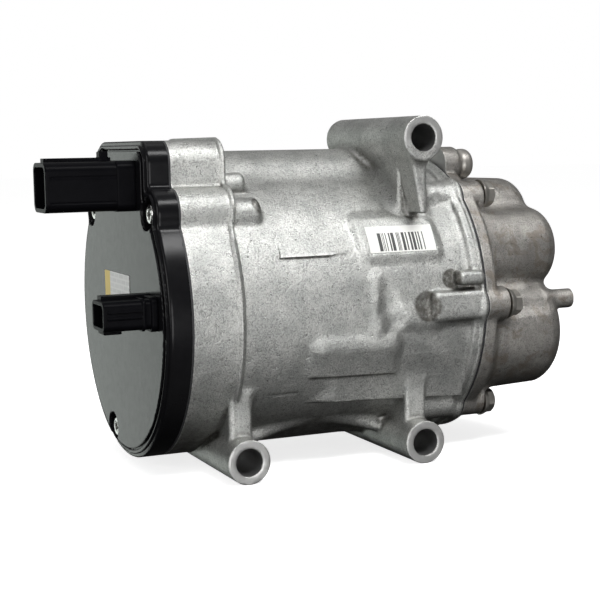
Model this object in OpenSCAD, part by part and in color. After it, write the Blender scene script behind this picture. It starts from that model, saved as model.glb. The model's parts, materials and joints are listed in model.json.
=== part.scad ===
// Electrically driven scroll compressor for a vehicle's refrigerant circuit.
// The shaft lies along X, the connectors point to -X, the three bolt lugs face -Y, and Z is up.
// The origin is on the surface that the two lower lugs stand on, below the middle of the shaft.

/* [Casing] */
// Outer radius of the inverter cover and of the flange it closes
cover_r = 60; // [58:0.5:62]
// Outer radius of the motor housing's tube
body_r = 58.5; // [57.5:0.5:59.5]
// Radius of the housing's bore around the scrolls
scroll_bore_r = 53; // [52.8:0.1:53.4]
// Radius of the housing's bore around the stator
stator_bore_r = 50; // [49:0.5:50.5]
// Height of the cover's ear above the shaft
ear_top = 69.5; // [68:0.5:71]

/* [Stations along the shaft] */
// Front face of the inverter cover
cover_face_x = -77; // [-79:0.5:-75]
// Joint between the cover's gasket and the motor housing
cover_joint_x = -66; // [-67:0.5:-65]
// Rear edge of the inverter flange
flange_rear_x = -44.7; // [-46:0.1:-44]
// Joint between the motor housing and the rear gasket
rear_joint_x = 60.5; // [60:0.5:61]
// Half of the overall length
half_length = 112.5; // [110:0.5:115]

/* [Lugs] */
// Radius of the bolt bores, for M10 bolts
lug_bore_r = 5.5; // [5:0.1:6]
// Outer radius of the lug tubes
lug_r = 8.75; // [8:0.25:9.5]
// Distance from the shaft to the lugs' machined front faces
lug_face_y = 59.5; // [58:0.5:61]
// Height of the upper lug above the shaft
upper_lug_z = 69; // [68:0.5:70]
// Depth of the lower lugs below the shaft
lower_lug_z = 54.5; // [53:0.5:56]
// Lug station near the scrolls
lug_scroll_x = 32.5; // [31:0.5:34]
// Lug station near the cover
lug_cover_x = -44.8; // [-46:0.1:-44]

/* [Scrolls] */
// Orbit radius of the moving scroll
orbit_r = 4.2; // [4:0.1:4.4]
// Thickness of the scroll walls
wrap_t = 3.5; // [3.3:0.1:3.7]
// Gap left between the flanks of the scrolls
flank_gap = 0.15; // [0.12:0.01:0.2]

/* [Fasteners] */
// Shank radius of the rear housing's bolts, M6
bolt_r = 3; // [2.5:0.1:3]
// Shank radius of the cover's screws, M5
screw_r = 2.4; // [2:0.1:2.5]

/* [Hidden] */
$fn = 64;

eps = 0.1;              // how far a cutting tool runs past the face it opens
fit = 0.02;             // radial play of a seat that holds its part still
floor_z = lower_lug_z + lug_r;
lower_bore_end_y = -28; // the lower bores are blind, as the housing's wall lies behind them

// Cover and inverter chamber
gasket_t = 0.8;
wall = 5.5;
cover_wall = 3;
chamber_r = cover_r - wall;
partition_x = flange_rear_x;
partition_t = 5.7;
ear_floor_x = partition_x - 4;   // the ear of the chamber stands out over the body, so it has its own floor
ear_floor_r = 54;
motor_x = partition_x + partition_t;
ear_front_y = -37;
ear_back_y = 35;
ear_front_round = 9;
ear_back_round = 12;
lobe_r = 9.5;
recess_r = 6.3;
head_r = 4;
// Cover screws as [y, z, radius of the post around it]
cover_screws_at = [[-38.5, 41.5, 9.5], [40, 40, 9.5], [21, 60.5, 8], [15.5, -50.7, 8.6]];
lobe_screws = [cover_screws_at[0], cover_screws_at[1]];     // the screws that the flange's lobes carry
screw_head_x = cover_face_x + 4.6;
screw_end_x = -50;

// Rear joint
bolt_circle_r = 57;
boss_circle_r = 55.4;
boss_r = 7.2;
bolt_count = 7;
bolt_angles = [for (i = [0:bolt_count - 1]) 180 + i * 360 / bolt_count];
rear_flange_r = 60.3;
rear_flange_t = 8;
bolt_seat_x = 72;
rear_x = rear_joint_x + gasket_t;
rear_face_x = rear_x + rear_flange_t;
bolt_length = 28;
head_pocket_r = 6.9;

// Connectors
hv = [[-27, -7], [42.5, 61.7], 28];   // y range, z range and length in front of its base
hv_base_t = 7.5;
lv = [[-50, -34], [-1.5, 9.8], 18.4];
lv_base_t = 2.6;
shell_wall = 1.7;

// Shaft line
journal_r = 8.5;
sub_journal_r = 6;
stack = [-22, 4];       // ends of the stator and rotor stacks
sub_bearing_x = -38.5;
sub_bearing_w = 8;
main_bearing_x = 8.5;
main_bearing_w = 9;
hub_r = 21;
frame_x = 17.5;
frame_end_x = 29.8;
frame_rim_r = 51.6;
recess_x = 18.2;
crank_recess_r = 20.5;
pin_r = 4.5;
bush_r = 8.5;
drive_bearing_r = 11.2;
drive_boss_r = 14.2;
rotor_r = 26.3;
tooth_count = 12;
pole_count = 8;

// Scroll pair: involutes of a circle, so both walls stay parallel
base_r = (orbit_r + wrap_t + flank_gap) / PI;
wrap_start = 216;       // involute angles in degrees
wrap_end = 954;
wrap_step = 6;
orbit_plate = [30.5, 38.3];
fixed_plate_x = 53.5;
tip_gap = 0.1;
orbit_plate_r = 47;
ring_in_r = 50;
seal_t = 1.2;
seal_depth = 1.5;
ring_count = 6;
ring_circle_r = 35.5;
ring_out_r = 8.6;
ring_in = 6.85;
ring_depth = 4;
stop_pin_r = 2.5;
discharge_hole_r = 5;

// ---------- helpers ----------

module along_x(x0, x1) {
    translate([x0, 0, 0]) rotate([90, 0, 90]) linear_extrude(x1 - x0) children();
}

module rod_x(r, x0, x1, y = 0, z = 0) {
    translate([x0, y, z]) rotate([0, 90, 0]) cylinder(h = x1 - x0, r = r);
}

module rod_y(r, y0, y1, x = 0, z = 0) {
    translate([x, y0, z]) rotate([-90, 0, 0]) cylinder(h = y1 - y0, r = r);
}

module cone_x(r0, r1, x0, x1, y = 0, z = 0) {
    translate([x0, y, z]) rotate([0, 90, 0]) cylinder(h = x1 - x0, r1 = r0, r2 = r1);
}

module tube_x(r_out, r_in, x0, x1) {
    difference() {
        rod_x(r_out, x0, x1);
        rod_x(r_in, x0 - eps, x1 + eps);
    }
}

module block(x, y, z) {
    translate([x[0], y[0], z[0]]) cube([x[1] - x[0], y[1] - y[0], z[1] - z[0]]);
}

// Turns a profile in (radius, x) about the shaft's axis
module turned() {
    rotate([0, 90, 0]) rotate_extrude() children();
}

function at_angle(r, a) = [r * cos(a), r * sin(a)];

function arc(c, r, a0, a1, n = 8) = [for (i = [0:n]) c + at_angle(r, a0 + (a1 - a0) * i / n)];

// A point on an involute of the base circle, shifted along the circle by a wall's half thickness
function involute(a, shift) = base_r * [
    cos(a) + (a * PI / 180 + shift) * sin(a),
    sin(a) - (a * PI / 180 + shift) * cos(a)
];

module involute_wall(a0, a1, t) {
    n = ceil((a1 - a0) / wrap_step);
    half = t / 2 / base_r;
    polygon(concat(
        [for (i = [0:n]) involute(a0 + (a1 - a0) * i / n, half)],
        [for (i = [n:-1:0]) involute(a0 + (a1 - a0) * i / n, -half)]
    ));
}

// ---------- outlines shared by the casing's pieces ----------

module ear_outline(inset = 0) {
    polygon(concat(
        [[ear_front_y + inset, 20], [ear_back_y - inset, 20]],
        arc([ear_back_y - ear_back_round, ear_top - ear_back_round], ear_back_round - inset, 0, 90),
        arc([ear_front_y + ear_front_round, ear_top - ear_front_round], ear_front_round - inset, 90, 180)
    ));
}

module cover_outline() {
    circle(r = cover_r);
    ear_outline();
    for (s = lobe_screws) translate([s[0], s[1]]) circle(r = lobe_r);
}

module face_outline(inset) {
    circle(r = cover_r - inset);
    ear_outline(inset);
    for (s = lobe_screws) translate([s[0], s[1]]) circle(r = lobe_r - inset);
}

module chamber_outline() {
    difference() {
        union() {
            circle(r = chamber_r);
            ear_outline(wall);
        }
        for (s = cover_screws_at) translate([s[0], s[1]]) circle(r = s[2]);
    }
}

module rear_outline() {
    circle(r = rear_flange_r);
    for (a = bolt_angles) translate(at_angle(boss_circle_r, a)) circle(r = boss_r);
}

// A rod on each of the rear bolts' axes
module bolt_rods(r, x0, x1, circle_r = bolt_circle_r) {
    for (a = bolt_angles) let (p = at_angle(circle_r, a)) rod_x(r, x0, x1, p[0], p[1]);
}

// ---------- casing ----------

module lug(x, z, back_y) {
    rod_y(lug_r, -lug_face_y, back_y, x, z);
}

module lugs() {
    lug(lug_scroll_x, upper_lug_z, 13);
    lug(lug_scroll_x, -lower_lug_z, 20);
    lug(lug_cover_x, -lower_lug_z, 20);
    // block and rib that carry the upper lug
    block([lug_scroll_x - 7, lug_scroll_x + 7], [-50, 10], [40, upper_lug_z - 2]);
    block([29.2, 35.8], [-57, -40], [38, upper_lug_z - 4]);
    // webs that carry the lower lugs
    for (s = [[lug_scroll_x, -1], [lug_cover_x, 1]]) {
        block([s[0] - 4, s[0] + 4], [-57, 16], [-lower_lug_z, -30]);
        translate([s[0], -40, 0]) rotate([90, 0, 0]) linear_extrude(6)
            polygon([[0, -lower_lug_z - 4], [s[1] * 34, -50], [s[1] * 34, -42], [0, -38]]);
    }
}

module lug_bores() {
    rod_y(lug_bore_r, -lug_face_y - eps, 13 + eps, lug_scroll_x, upper_lug_z);
    for (x = [lug_scroll_x, lug_cover_x])
        rod_y(lug_bore_r, -lug_face_y - eps, lower_bore_end_y, x, -lower_lug_z);
}

suction = [-30, 14];     // x and z of the suction port
suction_r = 7.5;
suction_face_y = boss_circle_r + boss_r;
discharge = [20, 14];    // y and z of the discharge port
discharge_r = 6;
discharge_face_x = 104;
stud_gap = 19;           // from a port's axis to its flange's stud hole
stud_r = 3.4;
stud_depth = 12;

module suction_pad() {
    rod_y(13, 53, suction_face_y, suction[0], suction[1]);
    rod_y(8, 53, suction_face_y, suction[0] + stud_gap, suction[1]);
    block([suction[0], suction[0] + stud_gap], [53, suction_face_y], [suction[1] - 7, suction[1] + 7]);
}

module motor_housing() color("silver") difference() {
    union() {
        along_x(cover_joint_x, flange_rear_x) cover_outline();
        rod_x(body_r, flange_rear_x - 1, rear_joint_x);
        rod_x(22, flange_rear_x - 1, 50, -4, 43);
        rod_x(rear_flange_r, 50, rear_joint_x);
        bolt_rods(boss_r, 36, rear_joint_x, boss_circle_r);
        for (s = lobe_screws) rod_x(5, flange_rear_x - 1, -32, s[0], s[1]);
        // raised front pads: the tunnel, the belly rail and the label's pad
        rod_x(14, -14, 22, -46.5, -15);
        block([-22, 50], [-51.5, -30], [-37.5, -24.5]);
        intersection() {
            rod_x(body_r + 1.5, 5, 50);
            block([4, 51], [-62, -40], [16.5, 38]);
        }
        lugs();
        suction_pad();
    }
    // inverter chamber, motor chamber and scroll bore
    difference() {
        along_x(cover_joint_x - eps, partition_x) chamber_outline();
        along_x(ear_floor_x, partition_x + eps) difference() {
            ear_outline(wall - 1);
            circle(r = ear_floor_r);
        }
        for (p = board_posts) rod_x(4, board_x[1], partition_x + eps, p[0], p[1]);
    }
    for (p = board_posts) rod_x(board_screw_r + fit, board_x[1] - eps, -50, p[0], p[1]);
    difference() {
        rod_x(stator_bore_r, motor_x, 8);
        rod_x(18, motor_x - eps, sub_bearing_x + sub_bearing_w);
    }
    rod_x(scroll_bore_r, frame_x, rear_joint_x + eps);
    rod_x(stator_bore_r + 0.5, 7, frame_x + eps);
    // seat of the sub bearing, with relief behind its inner race
    rod_x(14 + fit, sub_bearing_x, -30);
    rod_x(11, sub_bearing_x - 1, sub_bearing_x + eps);
    // opening of the feedthrough
    rod_x(feed_hole_r, partition_x - eps, motor_x + eps, 0, feed_z);
    for (p = feed_screws_at) rod_x(feed_screw_r + 0.05, partition_x - eps, motor_x + eps, p[0], p[1]);
    // ports
    rod_y(suction_r, 40, suction_face_y + eps, suction[0], suction[1]);
    rod_y(stud_r, suction_face_y - stud_depth, suction_face_y + eps, suction[0] + stud_gap, suction[1]);
    lug_bores();
    for (s = cover_screws_at) rod_x(screw_r + 0.1, cover_joint_x - eps, screw_end_x + 1, s[0], s[1]);
    bolt_rods(bolt_r + 0.1, 43, rear_joint_x + eps);
}

// Lobes of the discharge dome: angle, distance from the shaft, radius and end station
dome_lobes = [
    [113, 36.5, 18.5, 103], [145, 35.5, 19.5, 109.5], [208, 34, 22.5, 108.5],
    [62, 34, 16, 88], [20, 30, 18, 98], [-60, 32, 17, 94], [-110, 33, 15, 84]
];
dome_r = 44;
dome_wall = 6;
dome_end_x = 98;
valve = [-19, 57.5];     // y and z of the relief valve
valve_seat_x = 69.5;
valve_shank_r = 4;
valve_head_r = 6.6;
valve_pocket_r = 7;     // spot face round the valve's head
separator = [78, 10];    // x and y of the oil separator's tube
separator_r = 5;

module dome() {
    rod_x(dome_r, rear_x, 84);
    cone_x(dome_r, dome_r - 10, 84, dome_end_x);
    for (l = dome_lobes) let (p = at_angle(l[1], l[0])) {
        rod_x(l[2], rear_x, l[3] - 5, p[0], p[1]);
        cone_x(l[2], l[2] - 5, l[3] - 5, l[3], p[0], p[1]);
    }
}

module rear_housing() color([0.62, 0.6, 0.56]) difference() {
    union() {
        rod_x(rear_flange_r, rear_x, rear_face_x);
        dome();
        bolt_rods(boss_r, rear_x, bolt_seat_x, boss_circle_r);
        // end boss, relief valve's boss and discharge port
        rod_x(4.2, 90, half_length, -44.5, -2.6);
        rod_x(7.4, rear_x, valve_seat_x, valve[0], valve[1]);
        block([rear_x, rear_face_x - 1], [valve[0] - 6.5, valve[0] + 6.5], [40, valve[1]]);
        rod_x(11, 88, discharge_face_x, discharge[0], discharge[1]);
        rod_x(7.5, 88, discharge_face_x, discharge[0], discharge[1] - stud_gap);
        block([88, discharge_face_x],
              [discharge[0] - 6.5, discharge[0] + 6.5], [discharge[1] - stud_gap, discharge[1]]);
    }
    rod_x(dome_r - dome_wall, rear_x - eps, dome_end_x - 7);
    rod_x(discharge_r, 88, discharge_face_x + eps, discharge[0], discharge[1]);
    rod_x(stud_r, discharge_face_x - stud_depth, discharge_face_x + eps,
          discharge[0], discharge[1] - stud_gap);
    // seat of the separator tube
    translate([separator[0], separator[1], 30]) cylinder(h = 11.6, r = separator_r + fit);
    rod_x(valve_shank_r + fit, rear_x + 2, valve_seat_x + eps, valve[0], valve[1]);
    bolt_rods(bolt_r + 0.1, rear_x - eps, bolt_seat_x + eps);
    bolt_rods(head_pocket_r, bolt_seat_x, half_length);
    rod_x(valve_pocket_r, valve_seat_x, half_length, valve[0], valve[1]);
}

module cover_holes(r, x0, x1) {
    for (s = cover_screws_at) rod_x(r, x0, x1, s[0], s[1]);
}

module connector_opening(c, margin, x0, x1) {
    block([x0, x1], [c[0][0] + margin, c[0][1] - margin], [c[1][0] + margin, c[1][1] - margin]);
}

module inverter_cover() color([0.05, 0.05, 0.055]) difference() {
    union() {
        along_x(cover_face_x, cover_face_x + 1.6) face_outline(3.5);
        along_x(cover_face_x + 1.6, cover_joint_x - gasket_t) cover_outline();
    }
    along_x(cover_face_x + cover_wall, cover_joint_x) chamber_outline();
    cover_holes(screw_r + 0.2, cover_face_x - eps, cover_joint_x);
    cover_holes(recess_r, cover_face_x - eps, screw_head_x);
    connector_opening(hv, 3, cover_face_x - eps, cover_joint_x);
    connector_opening(lv, 2.5, cover_face_x - eps, cover_joint_x);
}

module cover_gasket() color([0.2, 0.2, 0.22]) difference() {
    along_x(cover_joint_x - gasket_t, cover_joint_x) cover_outline();
    along_x(cover_joint_x - 1, cover_joint_x + eps) chamber_outline();
    cover_holes(screw_r + 0.2, cover_joint_x - 1, cover_joint_x + eps);
}

module cover_screws() color([0.82, 0.82, 0.8]) for (s = cover_screws_at) difference() {
    union() {
        rod_x(screw_r, screw_head_x - 1, screw_end_x, s[0], s[1]);
        cone_x(head_r - 0.6, head_r, screw_head_x - 3.4, screw_head_x - 2.6, s[0], s[1]);
        rod_x(head_r, screw_head_x - 2.6, screw_head_x, s[0], s[1]);
    }
    translate([screw_head_x - 3.5, s[0], s[1]]) rotate([0, 90, 0]) cylinder(h = 2.4, r = 2, $fn = 6);
}

module rear_gasket() color([0.35, 0.35, 0.36]) difference() {
    along_x(rear_joint_x, rear_x) rear_outline();
    rod_x(dome_r, rear_joint_x - eps, rear_x + eps);
    bolt_rods(bolt_r + 0.1, rear_joint_x - eps, rear_x + eps);
}

module housing_bolts() color([0.75, 0.75, 0.72]) for (a = bolt_angles) let (p = at_angle(bolt_circle_r, a)) {
    rod_x(bolt_r, bolt_seat_x - bolt_length, bolt_seat_x + 1, p[0], p[1]);
    cone_x(6.6, 5.6, bolt_seat_x, bolt_seat_x + 1.6, p[0], p[1]);
    translate([bolt_seat_x + 1, p[0], p[1]]) rotate([0, 90, 0]) cylinder(h = 7, r = 5.6, $fn = 6);
}

// ---------- connectors ----------

module connector_shell(c, base_t, margin) {
    y = c[0];
    z = c[1];
    tip = cover_face_x - base_t - c[2];
    difference() {
        union() {
            block([tip, cover_face_x], y, z);
            block([cover_face_x - base_t, cover_face_x],
                  [y[0] - margin, y[1] + margin], [z[0] - margin, z[1] + margin]);
            block([cover_face_x - eps, cover_face_x + cover_wall + 2],
                  [y[0] + 3.1, y[1] - 3.1], [z[0] + 3.1, z[1] - 3.1]);
        }
        block([tip - eps, cover_face_x - base_t],
              [y[0] + shell_wall, y[1] - shell_wall], [z[0] + shell_wall, z[1] - shell_wall]);
    }
}

hv_blades_y = [-20.6, -13.4];
hv_blade_half = 2.6;
hv_mid_z = 52.1;

module hv_connector_shell() color([0.04, 0.04, 0.045]) difference() {
    union() {
        connector_shell(hv, hv_base_t, 2);
        // keying rail and lock bump on top
        block([-109.5, cover_face_x], [-12, -7], [61.6, 63.3]);
        block([-87, -83.5], [-12, -7], [63.2, 65.6]);
    }
    for (y = hv_blades_y)
        block([-90, -60],
              [y - hv_blade_half - 0.1, y + hv_blade_half + 0.1], [hv_mid_z - 0.6, hv_mid_z + 0.6]);
}

module hv_terminals() color([0.8, 0.62, 0.3]) for (y = hv_blades_y)
    block([-104, board_x[0]], [y - hv_blade_half, y + hv_blade_half], [hv_mid_z - 0.5, hv_mid_z + 0.5]);

lv_pins_y = [-46, -42, -38];
lv_pins_z = [2, 6.3];

module lv_connector_shell() color([0.04, 0.04, 0.045]) difference() {
    union() {
        connector_shell(lv, lv_base_t, 1);
        block([-96, cover_face_x], [-40, -34], [9.7, 11.2]);
        block([-97, -90], [-46, -38], [-2.9, -1.4]);
    }
    for (y = lv_pins_y, z = lv_pins_z) block([-90, -60], [y - 0.42, y + 0.42], [z - 0.42, z + 0.42]);
}

module lv_pins() color([0.85, 0.75, 0.45]) for (y = lv_pins_y, z = lv_pins_z)
    block([-93, board_x[0]], [y - 0.32, y + 0.32], [z - 0.32, z + 0.32]);

// ---------- inverter ----------

board_x = [-57, -55.4];
pin_y = [-9, 0, 9];
feed_z = 36;
board_posts = [[-40, -22], [40, -22], [-44, 22], [0, -46]];
board_screw_r = 1.5;
feed_plate_r = 17.5;
feed_plate_t = 2.2;
feed_hole_r = 12.5;
feed_screw_r = 1.5;
feed_screws_at = [for (a = [45:90:315]) [0, feed_z] + at_angle(15.2, a)];

module control_board() color([0.05, 0.35, 0.2]) difference() {
    along_x(board_x[0], board_x[1]) {
        circle(r = 52);
        ear_outline(wall + 2);
    }
    for (y = pin_y) rod_x(2.4, board_x[0] - eps, board_x[1] + eps, y, feed_z);
    for (p = board_posts) rod_x(board_screw_r + 0.2, board_x[0] - eps, board_x[1] + eps, p[0], p[1]);
    for (s = cover_screws_at) rod_x(s[2] + 0.6, board_x[0] - eps, board_x[1] + eps, s[0], s[1]);
}

module board_chips() color([0.1, 0.1, 0.11]) {
    block([-59, -57], [-10, 6], [-12, 4]);
    block([-58.8, -57], [-34, -24], [-6, 6]);
    block([-58.8, -57], [-8, 0], [14, 22]);
    block([-60.5, -57], [-24, -10], [-36, -24]);
    for (i = [0:2]) block([-58.6, -57], [-26 + i * 10, -20 + i * 10], [-20, -15]);
}

module board_screws() color([0.8, 0.8, 0.78]) for (p = board_posts) {
    rod_x(board_screw_r, board_x[0] - 0.5, board_x[1] + 4, p[0], p[1]);
    rod_x(2.8, board_x[0] - 2, board_x[0], p[0], p[1]);
}

module filter_capacitors() color([0.15, 0.2, 0.35]) for (c = [[30, 12], [32, -5], [24, -28]])
    rod_x(7, -72.5, board_x[0], c[0], c[1]);

choke_at = [3, 50];
choke_x = board_x[0] - 3.9;
choke_turns = 12;

module choke_core() color([0.3, 0.31, 0.33]) translate([choke_x, choke_at[0], choke_at[1]])
    turned() translate([5, -2.2]) square([3, 4.4]);

module choke_winding() color([0.72, 0.4, 0.2]) translate([choke_x, choke_at[0], choke_at[1]])
    for (i = [0:choke_turns - 1]) rotate([i * 360 / choke_turns, 0, 0]) translate([0, 6.5, 0])
        rotate_extrude($fn = 32) translate([3.3, 0]) circle(r = 0.5, $fn = 16);

module power_module() color([0.12, 0.12, 0.13]) {
    block([-52, partition_x - 0.8], [-28, 28], [-40, -8]);
    for (i = [0:5]) block([board_x[1], -52], [-26 + i * 10.2, -25 + i * 10.2], [-38.5, -37.7]);
}

module thermal_pad() color([0.75, 0.75, 0.8])
    block([partition_x - 0.8, partition_x], [-28, 28], [-40, -8]);

module feedthrough_plate() color([0.6, 0.6, 0.62]) difference() {
    rod_x(feed_plate_r, partition_x - feed_plate_t, partition_x, 0, feed_z);
    for (y = pin_y) rod_x(3, partition_x - 3, partition_x + eps, y, feed_z);
    for (p = feed_screws_at) rod_x(feed_screw_r + 0.05, partition_x - 3, partition_x + eps, p[0], p[1]);
}

module feedthrough_screws() color([0.8, 0.8, 0.78]) for (p = feed_screws_at) {
    rod_x(feed_screw_r, partition_x - feed_plate_t - 0.5, motor_x - 1, p[0], p[1]);
    rod_x(2.1, partition_x - feed_plate_t - 1.8, partition_x - feed_plate_t, p[0], p[1]);
}

module feedthrough_seals() color([0.25, 0.45, 0.5]) for (y = pin_y) difference() {
    rod_x(3, partition_x - 2.8, partition_x + 0.6, y, feed_z);
    rod_x(1.5, partition_x - 3, partition_x + 1, y, feed_z);
}

module feedthrough_pins() color([0.8, 0.7, 0.45]) for (y = pin_y)
    rod_x(1.5, -60, -35.5, y, feed_z);

module cluster_block() color([0.9, 0.9, 0.85]) difference() {
    block([-38.6, -34.4], [-14, 14], [30.5, 41.5]);
    for (y = pin_y) rod_x(1.5 + fit, -39, -34, y, feed_z);
}

module phase_leads() color([0.6, 0.1, 0.08]) for (y = pin_y) rod_x(1.3, -34.4, stack[0] - 6, y, feed_z);

// ---------- motor ----------

bore_r = 27;

module stator_core() color([0.45, 0.46, 0.48]) along_x(stack[0], stack[1]) difference() {
    union() {
        difference() {
            circle(r = stator_bore_r - fit);
            circle(r = 43);
        }
        difference() {
            circle(r = 29.5);
            circle(r = bore_r);
        }
        for (i = [0:tooth_count - 1])
            rotate(i * 360 / tooth_count) translate([28.5, -3.75]) square([15.5, 7.5]);
    }
    for (i = [0:tooth_count - 1])
        rotate((i + 0.5) * 360 / tooth_count) translate([25, -1.3]) square([8, 2.6]);
}

module tooth_ring(i, r, side, hole, x, x_hole) {
    rotate([i * 360 / tooth_count, 0, 0]) difference() {
        block(x, r, [-side, side]);
        block(x_hole, [r[0] - eps, r[1] + eps], [-hole, hole]);
    }
}

module stator_insulators() color([0.88, 0.86, 0.78]) {
    for (i = [0:tooth_count - 1])
        tooth_ring(i, [30.2, 42.4], 4.3, 3.8, [stack[0] - 0.6, stack[1] + 0.6], [stack[0], stack[1]]);
    for (x = [[stack[0] - 9, stack[0] - fit], [stack[1] + fit, stack[1] + 9]]) tube_x(44.6, 42.2, x[0], x[1]);
}

module stator_coils() color([0.75, 0.4, 0.18]) for (i = [0:tooth_count - 1])
    tooth_ring(i, [31, 41.4], 7.1, 4.35, [stack[0] - 6, stack[1] + 6], [stack[0] - 0.65, stack[1] + 0.65]);

module magnet_slots(gap) {
    for (i = [0:pole_count - 1]) rotate([i * 360 / pole_count, 0, 0])
        block([stack[0] - gap, stack[1] + gap], [20 - fit, 23 + fit], [-6.5 - fit, 6.5 + fit]);
}

module rotor_core() color([0.4, 0.41, 0.43]) difference() {
    rod_x(rotor_r, stack[0], stack[1]);
    rod_x(journal_r + fit, stack[0] - eps, stack[1] + eps);
    magnet_slots(eps);
}

module rotor_magnets() color([0.25, 0.25, 0.27])
    for (i = [0:pole_count - 1]) rotate([i * 360 / pole_count, 0, 0])
        block([stack[0], stack[1]], [20, 23], [-6.5, 6.5]);

module rotor_end_plates() color([0.7, 0.62, 0.4]) {
    difference() {
        union() {
            rod_x(25.5, stack[0] - 2, stack[0]);
            difference() {
                rod_x(25, stack[0] - 6, stack[0] - 1);
                rod_x(20, stack[0] - 7, stack[0]);
                block([stack[0] - 7, stack[0]], [-30, 30], [-30, 0]);
            }
        }
        rod_x(journal_r + fit, stack[0] - 8, stack[0] + eps);
    }
    tube_x(25.5, journal_r + fit, stack[1], stack[1] + 2);
}

module crankshaft() color([0.7, 0.71, 0.73]) {
    rod_x(sub_journal_r, sub_bearing_x, -30);
    rod_x(journal_r, -30, recess_x);
    rod_x(pin_r, recess_x - 0.4, frame_end_x - 0.2, 0, orbit_r);
}

// ---------- bearings ----------

module race(r_in, r_out, pitch, groove_r, x, w) {
    translate([x, 0, 0]) turned() difference() {
        translate([r_in, 0]) square([r_out - r_in, w]);
        translate([pitch, w / 2]) circle(r = groove_r);
    }
}

module balls(count, pitch, r, x) {
    for (i = [0:count - 1]) rotate([i * 360 / count, 0, 0]) translate([x, pitch, 0]) sphere(r = r);
}

module cage(count, pitch, ball_r, x, w) {
    difference() {
        tube_x(pitch + 0.6, pitch - 0.6, x - w / 2, x + w / 2);
        for (i = [0:count - 1]) rotate([i * 360 / count, 0, 0]) rod_y(ball_r + 0.15, pitch - 2, pitch + 2, x);
    }
}

sub_pitch = 10.2;
sub_ball_r = 2.3;
sub_mid_x = sub_bearing_x + sub_bearing_w / 2;
main_pitch = 13.1;
main_ball_r = 2.8;
main_mid_x = main_bearing_x + main_bearing_w / 2;
groove_play = 0.1;

module sub_bearing_outer_race() color([0.7, 0.7, 0.72])
    race(11.9, 14, sub_pitch, sub_ball_r + groove_play, sub_bearing_x, sub_bearing_w);
module sub_bearing_inner_race() color([0.7, 0.7, 0.72])
    race(sub_journal_r + fit, 8.6, sub_pitch, sub_ball_r + groove_play, sub_bearing_x, sub_bearing_w);
module sub_bearing_balls() color([0.85, 0.85, 0.86]) balls(8, sub_pitch, sub_ball_r, sub_mid_x);
module sub_bearing_cage() color([0.6, 0.5, 0.3]) cage(8, sub_pitch, sub_ball_r, sub_mid_x, 5.4);
module main_bearing_outer_race() color([0.7, 0.7, 0.72])
    race(15.1, 17.5, main_pitch, main_ball_r + groove_play, main_bearing_x, main_bearing_w);
module main_bearing_inner_race() color([0.7, 0.7, 0.72])
    race(journal_r + fit, 11.1, main_pitch, main_ball_r + groove_play, main_bearing_x, main_bearing_w);
module main_bearing_balls() color([0.85, 0.85, 0.86]) balls(9, main_pitch, main_ball_r, main_mid_x);
module main_bearing_cage() color([0.6, 0.5, 0.3]) cage(9, main_pitch, main_ball_r, main_mid_x, 6.6);

// ---------- scroll set ----------

module ring_places() {
    for (i = [0:ring_count - 1])
        let (p = at_angle(ring_circle_r, (i + 0.5) * 360 / ring_count)) translate([0, p[0], p[1]]) children();
}

module main_frame() color([0.55, 0.56, 0.57]) difference() {
    union() {
        rod_x(scroll_bore_r - fit, frame_x, frame_end_x);
        rod_x(hub_r, main_bearing_x - 0.5, frame_x + 1);
        rod_x(28, 11, frame_x + 1);
        tube_x(scroll_bore_r - fit, frame_rim_r, frame_end_x - 1, orbit_plate[1] + 0.2);
    }
    rod_x(17.5 + fit, main_bearing_x - 1, frame_x + eps);
    rod_x(crank_recess_r, frame_x, frame_end_x + eps);
    ring_places() rod_x(stop_pin_r + fit, 24, frame_end_x + eps);
}

module thrust_plate() color([0.68, 0.68, 0.7]) difference() {
    tube_x(frame_rim_r - 0.2, crank_recess_r + 1, frame_end_x, frame_end_x + 0.6);
    ring_places() rod_x(stop_pin_r + 0.2, frame_end_x - 1, frame_end_x + 1);
}

module anti_rotation_pins() color([0.78, 0.78, 0.8]) ring_places() rod_x(stop_pin_r, 24, 33.9);

module orbiting() {
    translate([0, 0, orbit_r]) children();
}

module anti_rotation_rings() color([0.72, 0.72, 0.74]) orbiting() ring_places() difference() {
    rod_x(ring_out_r, orbit_plate[0] + 0.1, orbit_plate[0] + ring_depth);
    rod_x(ring_in, orbit_plate[0] - eps, orbit_plate[0] + ring_depth + eps);
}

module drive_bush() color([0.66, 0.67, 0.7]) orbiting()
    tube_x(bush_r, pin_r + 0.05, recess_x + 0.4, frame_end_x + 0.2);

module counterweight() color([0.6, 0.6, 0.62]) difference() {
    union() {
        orbiting() rod_x(12, recess_x + 0.4, 22.4);
        difference() {
            rod_x(19.4, recess_x + 0.4, 22.4);
            block([recess_x, 23], [-30, 30], [0, 30]);
        }
    }
    orbiting() rod_x(bush_r + fit, recess_x, 23);
}

module drive_bearing() color([0.72, 0.66, 0.5]) orbiting()
    tube_x(drive_bearing_r, bush_r + 0.05, 23, orbit_plate[0] - 0.2);

module orbiting_scroll() color([0.66, 0.68, 0.7]) orbiting() difference() {
    union() {
        rod_x(orbit_plate_r, orbit_plate[0], orbit_plate[1]);
        rod_x(drive_boss_r, 23, orbit_plate[0] + 1);
        along_x(orbit_plate[1] - 1, fixed_plate_x - tip_gap) involute_wall(wrap_start, wrap_end, wrap_t);
    }
    rod_x(drive_bearing_r + fit, 22, orbit_plate[0]);
    ring_places() rod_x(ring_out_r + fit, orbit_plate[0] - eps, orbit_plate[0] + ring_depth);
    along_x(fixed_plate_x - tip_gap - seal_depth, fixed_plate_x)
        involute_wall(wrap_start + 20, wrap_end - 20, seal_t + 0.1);
}

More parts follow.
